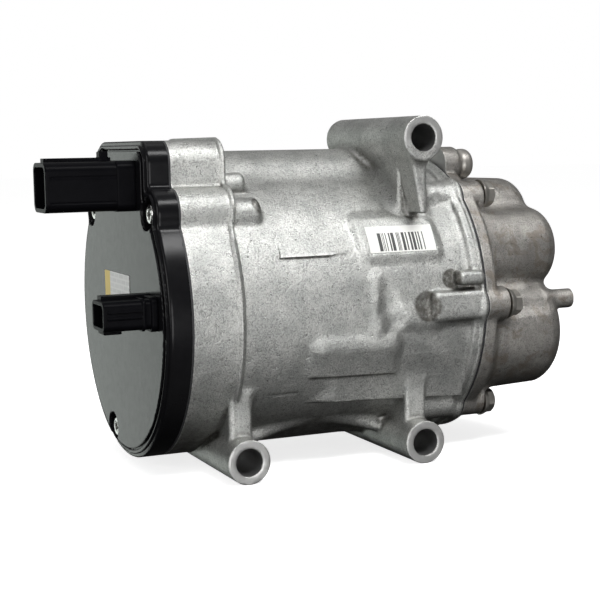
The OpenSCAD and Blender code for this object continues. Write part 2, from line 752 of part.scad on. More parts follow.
module orbiting_tip_seal() color([0.15, 0.14, 0.13]) orbiting()
    along_x(fixed_plate_x - tip_gap - seal_depth, fixed_plate_x - 0.04)
        involute_wall(wrap_start + 24, wrap_end - 24, seal_t);

module fixed_scroll() color([0.62, 0.64, 0.66]) difference() {
    union() {
        rod_x(scroll_bore_r - fit, fixed_plate_x, rear_joint_x);
        tube_x(scroll_bore_r - fit, ring_in_r, orbit_plate[1] + 0.2, fixed_plate_x + 1);
        intersection() {
            along_x(orbit_plate[1] + tip_gap, fixed_plate_x + 1) rotate(180)
                involute_wall(wrap_start, wrap_end + 180, wrap_t);
            rod_x(scroll_bore_r - 1, orbit_plate[1], fixed_plate_x + 2);
        }
    }
    rod_x(discharge_hole_r, fixed_plate_x - eps, rear_joint_x + eps);
    rod_x(reed_screw_r + 0.05, 54, rear_joint_x + eps, 0, reed_z);
    along_x(orbit_plate[1], orbit_plate[1] + tip_gap + seal_depth) rotate(180)
        involute_wall(wrap_start + 20, wrap_end - 20, seal_t + 0.1);
}

module fixed_tip_seal() color([0.15, 0.14, 0.13])
    along_x(orbit_plate[1] + 0.04, orbit_plate[1] + tip_gap + seal_depth) rotate(180)
        involute_wall(wrap_start + 24, wrap_end - 24, seal_t);

reed_x = rear_joint_x;
reed_t = 0.4;
reed_z = -26;           // the screw that clamps the reed
reed_root_z = -31;      // the lower edge that the reed lifts about
reed_lift = 2.7;        // degrees between the shut reed and its retainer
reed_screw_r = 2;

// A leaf in the YZ plane: round over the discharge hole, straight, and round at the screw
module leaf(t, half_w, tip_r) {
    difference() {
        union() {
            block([0, t], [-half_w, half_w], [reed_root_z, 0]);
            rod_x(tip_r, 0, t);
        }
        rod_x(reed_screw_r + 0.25, -eps, t + eps, 0, reed_z);
    }
}

module discharge_reed() color([0.55, 0.6, 0.68]) translate([reed_x, 0, 0]) leaf(reed_t, 4.2, 6.8);

module reed_retainer() color([0.5, 0.5, 0.52]) translate([reed_x + reed_t + 0.02, 0, reed_root_z])
    rotate([0, reed_lift, 0]) translate([0, 0, -reed_root_z]) leaf(2.2, 4.6, 6.4);

module reed_screw() color([0.75, 0.75, 0.75]) {
    rod_x(reed_screw_r, 54.5, reed_x + 3.2, 0, reed_z);
    translate([reed_x + 3, 0, reed_z]) rotate([0, 90, 0]) cylinder(h = 3, r = 3.8, $fn = 6);
}

module oil_separator_tube() color([0.7, 0.7, 0.72]) translate([separator[0], separator[1], 8]) difference() {
    cylinder(h = 33.5, r = separator_r);
    translate([0, 0, -eps]) cylinder(h = 34, r = separator_r - 1.2);
}

module relief_valve() color([0.6, 0.58, 0.54]) {
    rod_x(valve_shank_r, rear_x + 2.5, valve_seat_x + 1, valve[0], valve[1]);
    rod_x(valve_head_r, valve_seat_x, valve_seat_x + 5, valve[0], valve[1]);
    cone_x(valve_head_r, valve_head_r - 2, valve_seat_x + 5, valve_seat_x + 7.5, valve[0], valve[1]);
}

// ---------- labels ----------

module barcode_label() color("white") difference() {
    intersection() {
        rod_x(body_r + 1.68, 10.5, 40.5);
        block([10, 41], [-60, -40], [23.6, 33.8]);
    }
    rod_x(body_r + 1.5, 10, 41);
}

module rating_label() color([0.85, 0.75, 0.3])
    block([cover_face_x - 0.2, cover_face_x], [-14.4, 20.4], [3.4, 16]);

// ---------- the part ----------

module stand() {
    translate([0, 0, floor_z]) children();
}

stand() motor_housing();
stand() rear_housing();
stand() inverter_cover();
stand() cover_gasket();
stand() cover_screws();
stand() hv_connector_shell();
stand() hv_terminals();
stand() lv_connector_shell();
stand() lv_pins();
stand() control_board();
stand() board_chips();
stand() board_screws();
stand() filter_capacitors();
stand() choke_core();
stand() choke_winding();
stand() power_module();
stand() thermal_pad();
stand() feedthrough_plate();
stand() feedthrough_seals();
stand() feedthrough_pins();
stand() feedthrough_screws();
stand() cluster_block();
stand() phase_leads();
stand() stator_core();
stand() stator_insulators();
stand() stator_coils();
stand() rotor_core();
stand() rotor_magnets();
stand() rotor_end_plates();
stand() crankshaft();
stand() sub_bearing_outer_race();
stand() sub_bearing_inner_race();
stand() sub_bearing_balls();
stand() sub_bearing_cage();
stand() main_bearing_outer_race();
stand() main_bearing_inner_race();
stand() main_bearing_balls();
stand() main_bearing_cage();
stand() main_frame();
stand() thrust_plate();
stand() anti_rotation_pins();
stand() anti_rotation_rings();
stand() drive_bush();
stand() counterweight();
stand() drive_bearing();
stand() orbiting_scroll();
stand() orbiting_tip_seal();
stand() fixed_scroll();
stand() fixed_tip_seal();
stand() discharge_reed();
stand() reed_retainer();
stand() reed_screw();
stand() rear_gasket();
stand() housing_bolts();
stand() oil_separator_tube();
stand() relief_valve();
stand() barcode_label();
stand() rating_label();
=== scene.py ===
"""Looks of an electrically driven scroll compressor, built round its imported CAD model.

The castings, the cover, the connector shells and the fasteners are signed distance fields, in
millimetres in the shaft's frame: X along the shaft, Z up, the origin on the shaft's axis.
contour() turns a field into a mesh with crisp machined edges and soft cast fillets, and piece()
puts it in the row frame. The other parts keep their CAD shape and get node materials.
"""

import json
import math

import bpy
import numpy as np
from mathutils import Matrix, Vector


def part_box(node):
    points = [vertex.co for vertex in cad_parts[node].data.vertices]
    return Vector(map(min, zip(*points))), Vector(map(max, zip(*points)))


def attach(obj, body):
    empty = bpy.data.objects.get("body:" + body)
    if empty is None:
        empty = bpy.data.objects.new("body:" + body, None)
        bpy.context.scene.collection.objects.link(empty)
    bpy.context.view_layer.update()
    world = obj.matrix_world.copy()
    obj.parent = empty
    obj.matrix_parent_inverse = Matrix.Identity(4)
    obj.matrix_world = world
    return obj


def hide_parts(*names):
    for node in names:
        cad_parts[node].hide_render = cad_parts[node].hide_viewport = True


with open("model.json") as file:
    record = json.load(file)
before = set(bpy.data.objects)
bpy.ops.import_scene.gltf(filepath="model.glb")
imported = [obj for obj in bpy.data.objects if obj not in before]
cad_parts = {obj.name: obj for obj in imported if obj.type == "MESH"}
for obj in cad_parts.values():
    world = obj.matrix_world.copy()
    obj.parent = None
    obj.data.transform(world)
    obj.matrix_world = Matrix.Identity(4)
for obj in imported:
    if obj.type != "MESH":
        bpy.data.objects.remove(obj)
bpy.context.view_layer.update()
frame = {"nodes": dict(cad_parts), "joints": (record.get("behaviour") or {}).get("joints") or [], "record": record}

MM = 0.001
MOUNTS = {m["name"]: m for m in frame["record"]["mounts"]}
JOINTS = {j["name"]: j for j in frame["joints"]}
SHAFT = np.array(JOINTS["shaft_spin"]["pos_m"]) / MM
SHAFT[0] = 0.0
COARSE = 1.0


def span(node):
    """Lowest and highest corner of a CAD node in the shaft's frame, in millimetres."""
    lo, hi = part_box(node)
    return np.array(lo) / MM - SHAFT, np.array(hi) / MM - SHAFT


def mount(name):
    """A mount's place in the shaft's frame, in millimetres."""
    return np.array(MOUNTS[name]["pos_m"]) / MM - SHAFT


# ---------- sizes, from the frame where it holds them ----------

housing_lo, housing_hi = span("motor_housing")
rear_lo, rear_hi = span("rear_housing")
cover_lo, cover_hi = span("inverter_cover")
valve_lo, valve_hi = span("relief_valve")
hv_lo, hv_hi = span("hv_connector_shell")
lv_lo, lv_hi = span("lv_connector_shell")
label_lo, label_hi = span("barcode_label")
rating_lo, rating_hi = span("rating_label")
scroll_hi = span("fixed_scroll")[1]
stator_hi = span("stator_core")[1]
frame_lo = span("main_frame")[0]
blades_lo, blades_hi = span("hv_terminals")

COVER_JOINT = housing_lo[0]
REAR_JOINT = housing_hi[0]
REAR_X = rear_lo[0]
COVER_FACE = cover_lo[0]
COVER_END = cover_hi[0]
END_X = rear_hi[0]
SCROLL_BORE = scroll_hi[1] + 0.02
STATOR_BORE = stator_hi[1] + 0.02
EAR_TOP = cover_hi[2]
PARTITION = span("thermal_pad")[1][0]

COVER_R = 60.0
BODY_R = 58.5
WALL = 5.5
EAR_FLOOR = PARTITION - 4
EAR_FLOOR_R = 54.0
MOTOR_X = PARTITION + 5.7
EAR_Y = (-37.0, 35.0)
EAR_ROUND = (9.0, 12.0)
SCREWS = [(-38.5, 41.5, 9.5), (40.0, 40.0, 9.5), (21.0, 60.5, 8.0), (15.5, -50.7, 8.6)]
LOBE_R = 9.5
SCREW_HEAD_X = COVER_FACE + 4.6
BOLT_CIRCLE = 57.0
BOSS_CIRCLE = 55.4
BOSS_R = 7.2
BOLT_HOLE_R = 3.1
HEAD_POCKET_R = 6.9
BOLT_ANGLES = [math.radians(180 + i * 360 / 7) for i in range(7)]
BOLTS = [(BOLT_CIRCLE * math.cos(a), BOLT_CIRCLE * math.sin(a)) for a in BOLT_ANGLES]
BOSSES = [(BOSS_CIRCLE * math.cos(a), BOSS_CIRCLE * math.sin(a)) for a in BOLT_ANGLES]
FLANGE_R = 60.3
REAR_FACE = REAR_X + 5.5
BOLT_SEAT = REAR_JOINT + 11.5
LUG_R = 8.75
LUG_BORE = MOUNTS["upper_lug"]["dims"]["r_mm"]
LUGS = [mount("upper_lug"), mount("lower_lug_scroll"), mount("lower_lug_cover")]
LUG_FACE = mount("lug_face")[1]
LUG_BACK = (13.0, 20.0, 20.0)
LUG_BORE_END = (20.0, -28.0, -28.0)
PORT = mount("suction_port")
PORT_R = MOUNTS["suction_port"]["dims"]["r_mm"]
STUD = mount("suction_stud")
STUD_R = MOUNTS["suction_stud"]["dims"]["r_mm"]
PORT_FACE = mount("suction_face")[1]
OUT_PORT = mount("discharge_port")
OUT_R = MOUNTS["discharge_port"]["dims"]["r_mm"]
OUT_STUD = mount("discharge_stud")
OUT_FACE = mount("discharge_face")[0]
VALVE = ((valve_lo[1] + valve_hi[1]) / 2, (valve_lo[2] + valve_hi[2]) / 2)
BOARD_POSTS = [(-40, -22), (40, -22), (-44, 22), (0, -46)]
BOARD_X = span("control_board")[1][0]
FEED_Z = 36.0


# ---------- signed distance fields ----------

def disc(y, z, r, cy=0.0, cz=0.0):
    return np.hypot(y - cy, z - cz) - r


def slab(v, lo, hi):
    return np.abs(v - (lo + hi) / 2) - (hi - lo) / 2


def both(a, b, edge=0.0):
    """Where both fields are inside, with the edge between them rounded."""
    if edge == 0:
        return np.maximum(a, b)
    a, b = a + edge, b + edge
    return np.hypot(np.maximum(a, 0), np.maximum(b, 0)) + np.minimum(np.maximum(a, b), 0) - edge


def join(a, b, fillet=0.0):
    """Where either field is inside, with a fillet between them."""
    if fillet == 0:
        return np.minimum(a, b)
    h = np.maximum(fillet - np.abs(a - b), 0) / fillet
    return np.minimum(a, b) - h * h * fillet / 4


def less(a, b, fillet=0.0):
    """The first field without the second."""
    return -join(-a, b, fillet)


def rect(u, v, lo, hi, r):
    """Rectangle with corners lo and hi. r is its corner radius: one number, or (at low u, at high u)."""
    if isinstance(r, tuple):
        r = np.where(u < (lo[0] + hi[0]) / 2, r[0], r[1])
    a = slab(u, lo[0], hi[0]) + r
    b = slab(v, lo[1], hi[1]) + r
    return np.hypot(np.maximum(a, 0), np.maximum(b, 0)) + np.minimum(np.maximum(a, b), 0) - r


def rod_x(p, r, x0, x1, cy=0.0, cz=0.0, edge=0.0):
    return both(disc(p[1], p[2], r, cy, cz), slab(p[0], x0, x1), edge)


def rod_y(p, r, y0, y1, cx, cz, edge=0.0):
    return both(disc(p[0], p[2], r, cx, cz), slab(p[1], y0, y1), edge)


def block(p, x, y, z, edge=0.0):
    return both(both(slab(p[0], *x), slab(p[1], *y), edge), slab(p[2], *z), edge)


def ball(p, centre, r):
    return np.sqrt((p[0] - centre[0]) ** 2 + (p[1] - centre[1]) ** 2 + (p[2] - centre[2]) ** 2) - r


def bar(p, a, b, r):
    """Round bar from point a to point b."""
    a, d = np.array(a, float), np.array(b, float) - np.array(a, float)
    t = ((p[0] - a[0]) * d[0] + (p[1] - a[1]) * d[1] + (p[2] - a[2]) * d[2]) / (d @ d)
    t = np.clip(t, 0, 1)
    return ball((p[0] - t * d[0], p[1] - t * d[1], p[2] - t * d[2]), a, r)


def contour(field, lo, hi, pitch):
    """Dual contouring: one vertex in each cell that the surface crosses, at the point that lies on
    the planes of the crossings, so edges stay crisp. Returns points and quads."""
    pitch = pitch * COARSE
    lo = np.array(lo, float) - 1.53 * pitch
    counts = np.ceil((np.array(hi, float) - lo) / pitch).astype(int) + 3
    axes = [(lo[i] + pitch * np.arange(counts[i])).astype(np.float32) for i in range(3)]
    grid = field((axes[0][:, None, None], axes[1][None, :, None], axes[2][None, None, :]))
    strides = np.array([counts[1] * counts[2], counts[2], 1])
    crossings, cells = [], []
    for a in range(3):
        near = tuple(slice(0, -1) if i == a else slice(None) for i in range(3))
        far = tuple(slice(1, None) if i == a else slice(None) for i in range(3))
        at = np.argwhere((grid[near] < 0) != (grid[far] < 0))
        v0 = grid[near][tuple(at.T)].astype(float)
        v1 = grid[far][tuple(at.T)].astype(float)
        inside_first = v0 < 0
        start = lo + at * pitch
        t0, t1 = np.zeros(len(at)), np.ones(len(at))
        for _ in range(3):
            t = t0 + (t1 - t0) * v0 / (v0 - v1)
            point = start.copy()
            point[:, a] += t * pitch
            v = field(tuple(point.T))
            same = (v < 0) == (v0 < 0)
            t0, v0 = np.where(same, t, t0), np.where(same, v, v0)
            t1, v1 = np.where(same, t1, t), np.where(same, v1, np.where(v == 0, -1e-9 * v0, v))
        crossings.append(point)
        b, c = strides[(a + 1) % 3], strides[(a + 2) % 3]
        base = at @ strides
        quad = np.stack([base, base - b, base - b - c, base - c], 1)
        quad[~inside_first] = quad[~inside_first][:, ::-1]
        cells.append(quad)
    points, quads = np.concatenate(crossings), np.concatenate(cells)
    normals = slope(field, points)
    ids, vertex = np.unique(quads.ravel(), return_inverse=True)
    edge = np.repeat(np.arange(len(points)), 4)

    def total(values):
        return np.bincount(vertex, weights=values[edge], minlength=len(ids))

    size = np.bincount(vertex, minlength=len(ids))
    middle = np.stack([total(points[:, i]) for i in range(3)], 1) / size[:, None]
    matrix = np.zeros((len(ids), 3, 3))
    for i in range(3):
        for j in range(i, 3):
            matrix[:, i, j] = matrix[:, j, i] = total(normals[:, i] * normals[:, j])
    offset = (normals * points).sum(1)
    aim = np.stack([total(normals[:, i] * offset) for i in range(3)], 1)
    aim -= np.einsum("nij,nj->ni", matrix, middle)
    matrix += 0.06 * np.eye(3)
    made = middle + np.linalg.solve(matrix, aim[:, :, None])[:, :, 0]
    corner = lo + np.stack(np.unravel_index(ids, counts), 1) * pitch
    return np.clip(made, corner, corner + pitch), vertex.reshape(-1, 4)


def slope(field, points, step=0.03):
    """Unit normals of the field at points."""
    normals = np.zeros_like(points)
    for i in range(3):
        ahead, behind = points.copy(), points.copy()
        ahead[:, i] += step
        behind[:, i] -= step
        normals[:, i] = field(tuple(ahead.T)) - field(tuple(behind.T))
    return normals / np.maximum(np.linalg.norm(normals, axis=1, keepdims=True), 1e-9)


# Ends of the cast bosses that get painted shade, as (centre, radius)
SHADED_BOSS_ENDS = [((34.4, -58.0, 1.0), 7.6), ((46.2, -58.2, 11.8), 5.2), ((-33.0, -44.0, 43.2), 4.4)]


def shade_and_edge_masks(field, points):
    """Masks for painted light at each point: painted shade where the surface is hollow, on undersides and at the
    dark boss ends, and how much of an edge it is, for a painted edge highlight.
    """
    normals = slope(field, points)
    near = field(tuple((points + 1.2 * normals).T)) / 1.2
    far = field(tuple((points + 3.5 * normals).T)) / 3.5
    under = field(tuple((points - 0.9 * normals).T)) / 0.9
    shade_mask = 1 - 0.5 * near - 0.5 * far
    # undersides get painted shade too
    shade_mask = np.maximum(shade_mask, 1.1 * (-normals[:, 2] - 0.4))
    # painted shade on the boss ends that face away from the light
    for centre, r in SHADED_BOSS_ENDS:
        shade_mask = np.maximum(shade_mask, 2.4 * (1 - np.linalg.norm(points - centre, axis=1) / r))
    return {"shade_mask": np.clip(shade_mask, 0, 1), "edge": np.clip(1 + under, 0, 1)}


def piece(name, points, quads, materials, choose=None, body="casing", sharp=36, field=None):
    """A mesh in the row frame. choose(centres, normals) gives each face its material's number."""
    mesh = bpy.data.meshes.new(name)
    mesh.from_pydata(((points + SHAFT) * MM).tolist(), [], quads.tolist())
    if field is not None:
        # vertex masks for the painted shade and the painted edge highlight
        for key, values in shade_and_edge_masks(field, points).items():
            mesh.attributes.new(key, "FLOAT", "POINT").data.foreach_set("value", values.astype(np.float32))
    for m in materials:
        mesh.materials.append(m)
    if choose is not None:
        p = points[quads]
        normals = np.cross(p[:, 2] - p[:, 0], p[:, 3] - p[:, 1])
        normals /= np.maximum(np.linalg.norm(normals, axis=1, keepdims=True), 1e-12)
        picked = choose(p.mean(1), normals).astype(np.int32)
        mesh.polygons.foreach_set("material_index", picked)
    mesh.shade_smooth()
    mesh.set_sharp_from_angle(angle=math.radians(sharp))
    made = bpy.data.objects.new(name, mesh)
    bpy.context.scene.collection.objects.link(made)
    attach(made, body)
    return made


# ---------- the motor housing ----------

def flange_outline(y, z):
    ear = rect(y, z, (EAR_Y[0], 0.0), (EAR_Y[1], EAR_TOP), EAR_ROUND)
    outline = join(disc(y, z, COVER_R), ear, 3.0)
    for s in SCREWS[:2]:
        outline = join(outline, disc(y, z, LOBE_R, s[0], s[1]), 2.5)
    return outline


def chamber_outline(y, z):
    ear = rect(y, z, (EAR_Y[0] + WALL, 0.0), (EAR_Y[1] - WALL, EAR_TOP - WALL),
               (EAR_ROUND[0] - WALL, EAR_ROUND[1] - WALL))
    outline = join(disc(y, z, COVER_R - WALL), ear)
    for s in SCREWS:
        outline = less(outline, disc(y, z, s[2], s[0], s[1]), 1.5)
    return outline


def rear_outline(y, z):
    outline = disc(y, z, FLANGE_R)
    for by, bz in BOSSES:
        outline = join(outline, disc(y, z, BOSS_R, by, bz), 2.5)
    return outline


def casting_outside(p):
    x, y, z = p
    ring = disc(y, z, BODY_R)
    flange = flange_outline(y, z)
    f = both(flange, slab(x, COVER_JOINT - 5, PARTITION), 1.0)
    bead_x = PARTITION - 2.1 + 0.13 * np.clip(z - 30, 0, 16)
    f = join(f, np.hypot(flange + 0.1, x - bead_x) - 1.1, 0.5)
    tube = both(ring, slab(x, PARTITION - 2, REAR_JOINT + 4))
    # dome over the motor's leads, and the lower hump behind it
    dome = rod_x(p, 22, PARTITION - 8, 29, -4, 43, 7)
    dome = join(dome, rod_x(p, 18.5, 20, 52, -5, 43, 5), 5)
    tube = join(tube, dome, 3.5)
    # bosses behind the flange
    tube = join(tube, rod_x(p, 4.4, PARTITION - 8, -33.7, -30.2, 52.0, 2.4), 2.0)
    tube = join(tube, rod_x(p, 6.3, PARTITION - 8, -32.0, SCREWS[0][0] - 2.2, SCREWS[0][1] - 1, 2.6), 2.2)
    tube = join(tube, rod_x(p, 5.5, PARTITION - 8, -33, SCREWS[1][0], SCREWS[1][1], 1.2), 2)
    tube = join(tube, rod_x(p, 6.5, PARTITION - 8, -34, 33, 52, 1.5), 3)
    # rear ring with its bolt bosses
    tube = join(tube, both(disc(y, z, FLANGE_R), slab(x, 55.5, REAR_JOINT + 4), 0.8), 2.5)
    bead = np.hypot(rear_outline(y, z), x - REAR_JOINT + 1.3) - 0.8 * np.clip((50 - y) / 15, 0, 1)
    tube = join(tube, bead, 0.5)
    for (by, bz), start in zip(BOSSES, (36.2, 38, 40, 36, 37, 40, 40.5)):
        tube = join(tube, rod_x(p, BOSS_R, start, REAR_JOINT + 4, by, bz, 1.3), 2.2)
    # upper lug: block, gusset and rib under the tube
    lug = rod_y(p, LUG_R, LUG_FACE, LUG_BACK[0], LUGS[0][0], LUGS[0][2], 0.35)
    lug = both(lug, -ball(p, (LUGS[0][0], LUG_BACK[0] + 40, LUGS[0][2]), 37), 3.0)
    support = block(p, (28.6, 40.2), (-44.5, 9), (28, LUGS[0][2] - 3), 0.8)
    rib = block(p, (26, 35.0), (-57.2, -30), (38.8, LUGS[0][2] - 4), 1.0)
    rib = both(rib, (28.9 + 0.2 * (57 - z) - x) * 0.98, 1.0)
    tube = join(tube, join(support, rib, 0.8), 6.0)
    tube = join(tube, lug, 5.0)
    # lower lugs, with a web and a brace each
    for i, side in ((1, -1), (2, 1)):
        cx, cz = LUGS[i][0], LUGS[i][2]
        leg = rod_y(p, LUG_R, LUG_FACE, LUG_BACK[i], cx, cz, 0.35)
        web = block(p, (cx - 4.8, cx + 4.8), (-51.5, 14), (cz, -28), 1.6)
        tube = join(tube, web, 4.0)
        brace = bar(p, (cx + side * 2, -33, cz + 1), (cx + side * 33, -33, -43.5), 2.6)
        brace = join(brace, bar(p, (cx + side * 2, -15, cz + 2), (cx + side * 34, -24, -47), 4.0), 6)
        tube = join(tube, brace, 4.0)
        tube = join(tube, leg, 1.6)
    # belly rail, tunnel and land on the front
    skirt = np.maximum(np.maximum(y + 34, z + 18), -36.4 - 0.045 * x - z)
    skirt = both(slab(x, -21, 56), skirt, 1.2)
    sunk = 0.30 * np.maximum(-4 - x, 0)
    tube = join(tube, both(skirt, -0.951 * y - 0.309 * z - 58.2 + sunk, 0.6), 0.8)
    tunnel = both(both(-0.923 * y - 0.384 * z - 60.3, z + 6.5, 9), slab(x, -18.5, 25), 7)
    tunnel = both(np.maximum(tunnel, y + 40), -25.0 - 0.03 * x - z, 0.4)
    tube = join(tube, tunnel, 1.8)
    tube = join(tube, bar(p, (18, -55.0, -1.8), (38, -55.2, -3.9), 3.8), 4.5)
    tube = join(tube, bar(p, (12.6, -53.8, 13), (12.2, -56.2, -6), 2.4), 3.5)
    # label pad
    near = np.clip(1 - rect(x + 0.12 * (z - 20), z, (9.6, 22.8), (41.5, 36), 1.5) / 4.6, 0, 1)
    pad = disc(y, z, BODY_R) - 1.5 * near * near * (3 - 2 * near)
    tube = join(tube, both(pad, y + 20))
    # square-backed front boss and the small one above it
    tube = join(tube, block(p, (35.4, 60), (-62.4, -50), (-5.2, 7.0), 2.6), 0.9)
    tube = join(tube, block(p, (46.8, 60), (-62.0, -50), (9.0, 14.8), 2.4), 0.9)
    # suction port's pad on the back
    port = rod_y(p, 13, 50, PORT_FACE, PORT[0], PORT[2], 0.8)
    port = join(port, rod_y(p, 8, 50, PORT_FACE, STUD[0], STUD[2], 0.8), 4)
    tube = join(tube, port, 3.0)
    # hollows and dents
    for centre, r in (((-19.5, -61.5, -17.0), 4.6), ((48.5, -47, 44.5), 5.0),
                      ((17.0, -64.5, 8), 7.0), ((17.0, -64.5, 2), 7.2), ((19.0, -64.8, -4), 7.0),
                      ((45.5, -58, -40.5), 6.0)):
        tube = less(tube, ball(p, centre, r), 1.6)
    groove = np.hypot(disc(y, z, BODY_R + 3.1), x - 52.3) - 2.4
    from_bolts = np.min([np.hypot(y - by, z - bz) for by, bz in BOLTS], axis=0)
    groove = both(both(groove, y + 12), slab(z, 17, 90))
    tube = less(tube, both(groove, 6 - from_bolts), 1.2)
    raised = 0.15 * (30.5 - z) * np.clip((1 - x) / 9, 0, 1)
    panel = both(block(p, (-28, 1), (-62, -40), (23.7, 30.5)), disc(y, z, BODY_R) - raised, 0.4)
    tube = join(tube, panel, 0.3)
    tube = less(tube, block(p, (-31, -20), (-54, -49.4), (-31.6, -30.8), 0.2), 0.5)
    f = less(f, np.hypot(ring, x - PARTITION - 0.5) - 0.5)
    return join(f, tube, 0.5)


def casting(p):
    x, y, z = p
    f = casting_outside(p)
    f = both(both(f, COVER_JOINT - x), x - REAR_JOINT, 0.25)
    # inverter chamber, motor chamber and scroll bore
    chamber = both(chamber_outline(y, z), slab(x, COVER_JOINT - 9, PARTITION))
    chamber = less(chamber, np.maximum(EAR_FLOOR - x, EAR_FLOOR_R - np.hypot(y, z)))
    for py, pz in BOARD_POSTS:
        chamber = less(chamber, rod_x(p, 4, BOARD_X, PARTITION + 1, py, pz), 0.6)
    f = less(f, chamber, 0.5)
    motor = less(rod_x(p, STATOR_BORE, MOTOR_X, 8), rod_x(p, 18, MOTOR_X - 1, -30.5))
    f = less(f, motor)
    f = less(f, rod_x(p, SCROLL_BORE, frame_lo[0] + 9.5, REAR_JOINT + 9))
    f = less(f, rod_x(p, STATOR_BORE + 0.5, 7, 18))
    f = less(f, rod_x(p, 14.02, -38.5, -30))
    f = less(f, rod_x(p, 11, -39.5, -38.4))
    f = less(f, rod_x(p, 12.5, PARTITION - 1, MOTOR_X + 1, 0, FEED_Z))
    # ports, bores and screw holes
    f = less(f, rod_y(p, PORT_R, 40, PORT_FACE + 3, PORT[0], PORT[2]), 0.4)
    f = less(f, rod_y(p, STUD_R, PORT_FACE - 12, PORT_FACE + 3, STUD[0], STUD[2]), 0.4)
    for lug, end in zip(LUGS, LUG_BORE_END):
        bore = rod_y(p, LUG_BORE, LUG_FACE - 3, end, lug[0], lug[2])
        f = less(f, bore, 0.5)
    for s in SCREWS:
        f = less(f, rod_x(p, 2.5, COVER_JOINT - 3, -49, s[0], s[1]))
    for by, bz in BOLTS:
        f = less(f, rod_x(p, BOLT_HOLE_R, 43, REAR_JOINT + 3, by, bz))
    return f


# ---------- the rear housing ----------

# Lobes of the discharge dome as (y, z, radius, end station)
LOBES = [(-14.5, 33.5, 18.5, 103.5), (-29.1, 20.4, 19.5, 108.0), (-29.6, -15.0, 26.0, 106.0),
         (15.0, 31.0, 16.0, 92.0), (28.0, 10.0, 18.0, 99.0), (16.0, -28.0, 17.0, 96.0),
         (-11.0, -31.0, 16.0, 88.0)]


def rear_casting(p):
    x, y, z = p
    f = both(disc(y, z, FLANGE_R), slab(x, REAR_X - 4, REAR_FACE), 1.2)
    for by, bz in BOSSES:
        f = join(f, rod_x(p, BOSS_R, REAR_X - 4, BOLT_SEAT, by, bz, 1.0), 1.6)
    dome = rod_x(p, 44, REAR_X - 4, 98, 0, 0, 12)
    for cy, cz, r, end in LOBES:
        taper = np.maximum(x - REAR_FACE, 0) * 0.045
        dome = join(dome, both(disc(y, z, r, cy, cz) + taper, slab(x, REAR_X - 4, end), 9), 3.2)
    f = join(f, dome, 5.0)
    # end boss, relief valve's boss, discharge port
    f = join(f, rod_x(p, 4.2, 98, END_X, -44.5, -1.4, 0.6), 2.0)
    f = join(f, rod_x(p, 7.6, REAR_X - 4, valve_lo[0] + 6.4, VALVE[0], VALVE[1], 2.6), 2.0)
    f = join(f, block(p, (REAR_X - 4, REAR_FACE - 1), (VALVE[0] - 6.5, VALVE[0] + 6.5), (40, VALVE[1]), 1), 2)
    port = rod_x(p, 11, 80, OUT_FACE, OUT_PORT[1], OUT_PORT[2], 0.8)
    port = join(port, rod_x(p, 7.5, 80, OUT_FACE, OUT_STUD[1], OUT_STUD[2], 0.8), 5)
    f = join(f, port, 2.5)
    f = both(f, REAR_X - x, 0.25)
    f = less(f, rod_x(p, 38, REAR_X - 5, 91, 0, 0, 3))
    f = less(f, rod_x(p, OUT_R, 88, OUT_FACE + 3, OUT_PORT[1], OUT_PORT[2]), 0.4)
    f = less(f, rod_x(p, STUD_R, OUT_FACE - 12, OUT_FACE + 3, OUT_STUD[1], OUT_STUD[2]), 0.4)
    f = less(f, rod_x(p, 4.02, REAR_X + 2, valve_lo[0] + 9, VALVE[0], VALVE[1]))
    for by, bz in BOLTS:
        f = less(f, rod_x(p, BOLT_HOLE_R, REAR_X - 3, BOLT_SEAT + 3, by, bz))
        f = less(f, rod_x(p, HEAD_POCKET_R, BOLT_SEAT, END_X, by, bz, 0.8), 1.4)
    f = less(f, rod_x(p, 7.0, valve_hi[0] - 7.4, END_X, VALVE[0], VALVE[1], 0.5), 0.8)
    return f


# ---------- cover and connectors ----------

def cover_field(p):
    x, y, z = p
    outline = flange_outline(y, z)
    f = both(outline, slab(x, COVER_FACE + 1.4, COVER_END + 4), 1.3)
    f = join(f, np.hypot(outline + 2.5, x - COVER_FACE - 1.3) - 0.8, 0.4)
    f = join(f, both(outline + 4.0, slab(x, COVER_FACE, COVER_END), 0.5))
    f = less(f, np.hypot(outline + 3.6, x - COVER_FACE - 1.2) - 0.5, 0.2)
    f = both(f, x - COVER_END, 0.3)
    f = less(f, both(chamber_outline(y, z), slab(x, COVER_FACE + 3, COVER_END + 3)))
    for s in SCREWS:
        f = less(f, rod_x(p, 6.3, COVER_FACE - 3, SCREW_HEAD_X, s[0], s[1]), 0.7)
        f = less(f, rod_x(p, 2.6, COVER_FACE - 3, COVER_END + 3, s[0], s[1]))
    for lo, hi in ((hv_lo, hv_hi), (lv_lo, lv_hi)):
        mid_y, mid_z = (lo[1] + hi[1]) / 2, (lo[2] + hi[2]) / 2
        f = less(f, block(p, (COVER_FACE - 3, COVER_END + 3), (mid_y - 5, mid_y + 5), (mid_z - 4, mid_z + 4)))
    return f


HV = ((-27.0, 42.5), (-7.0, 61.7))
LV = ((-50.0, -1.5), (-34.0, 9.8))


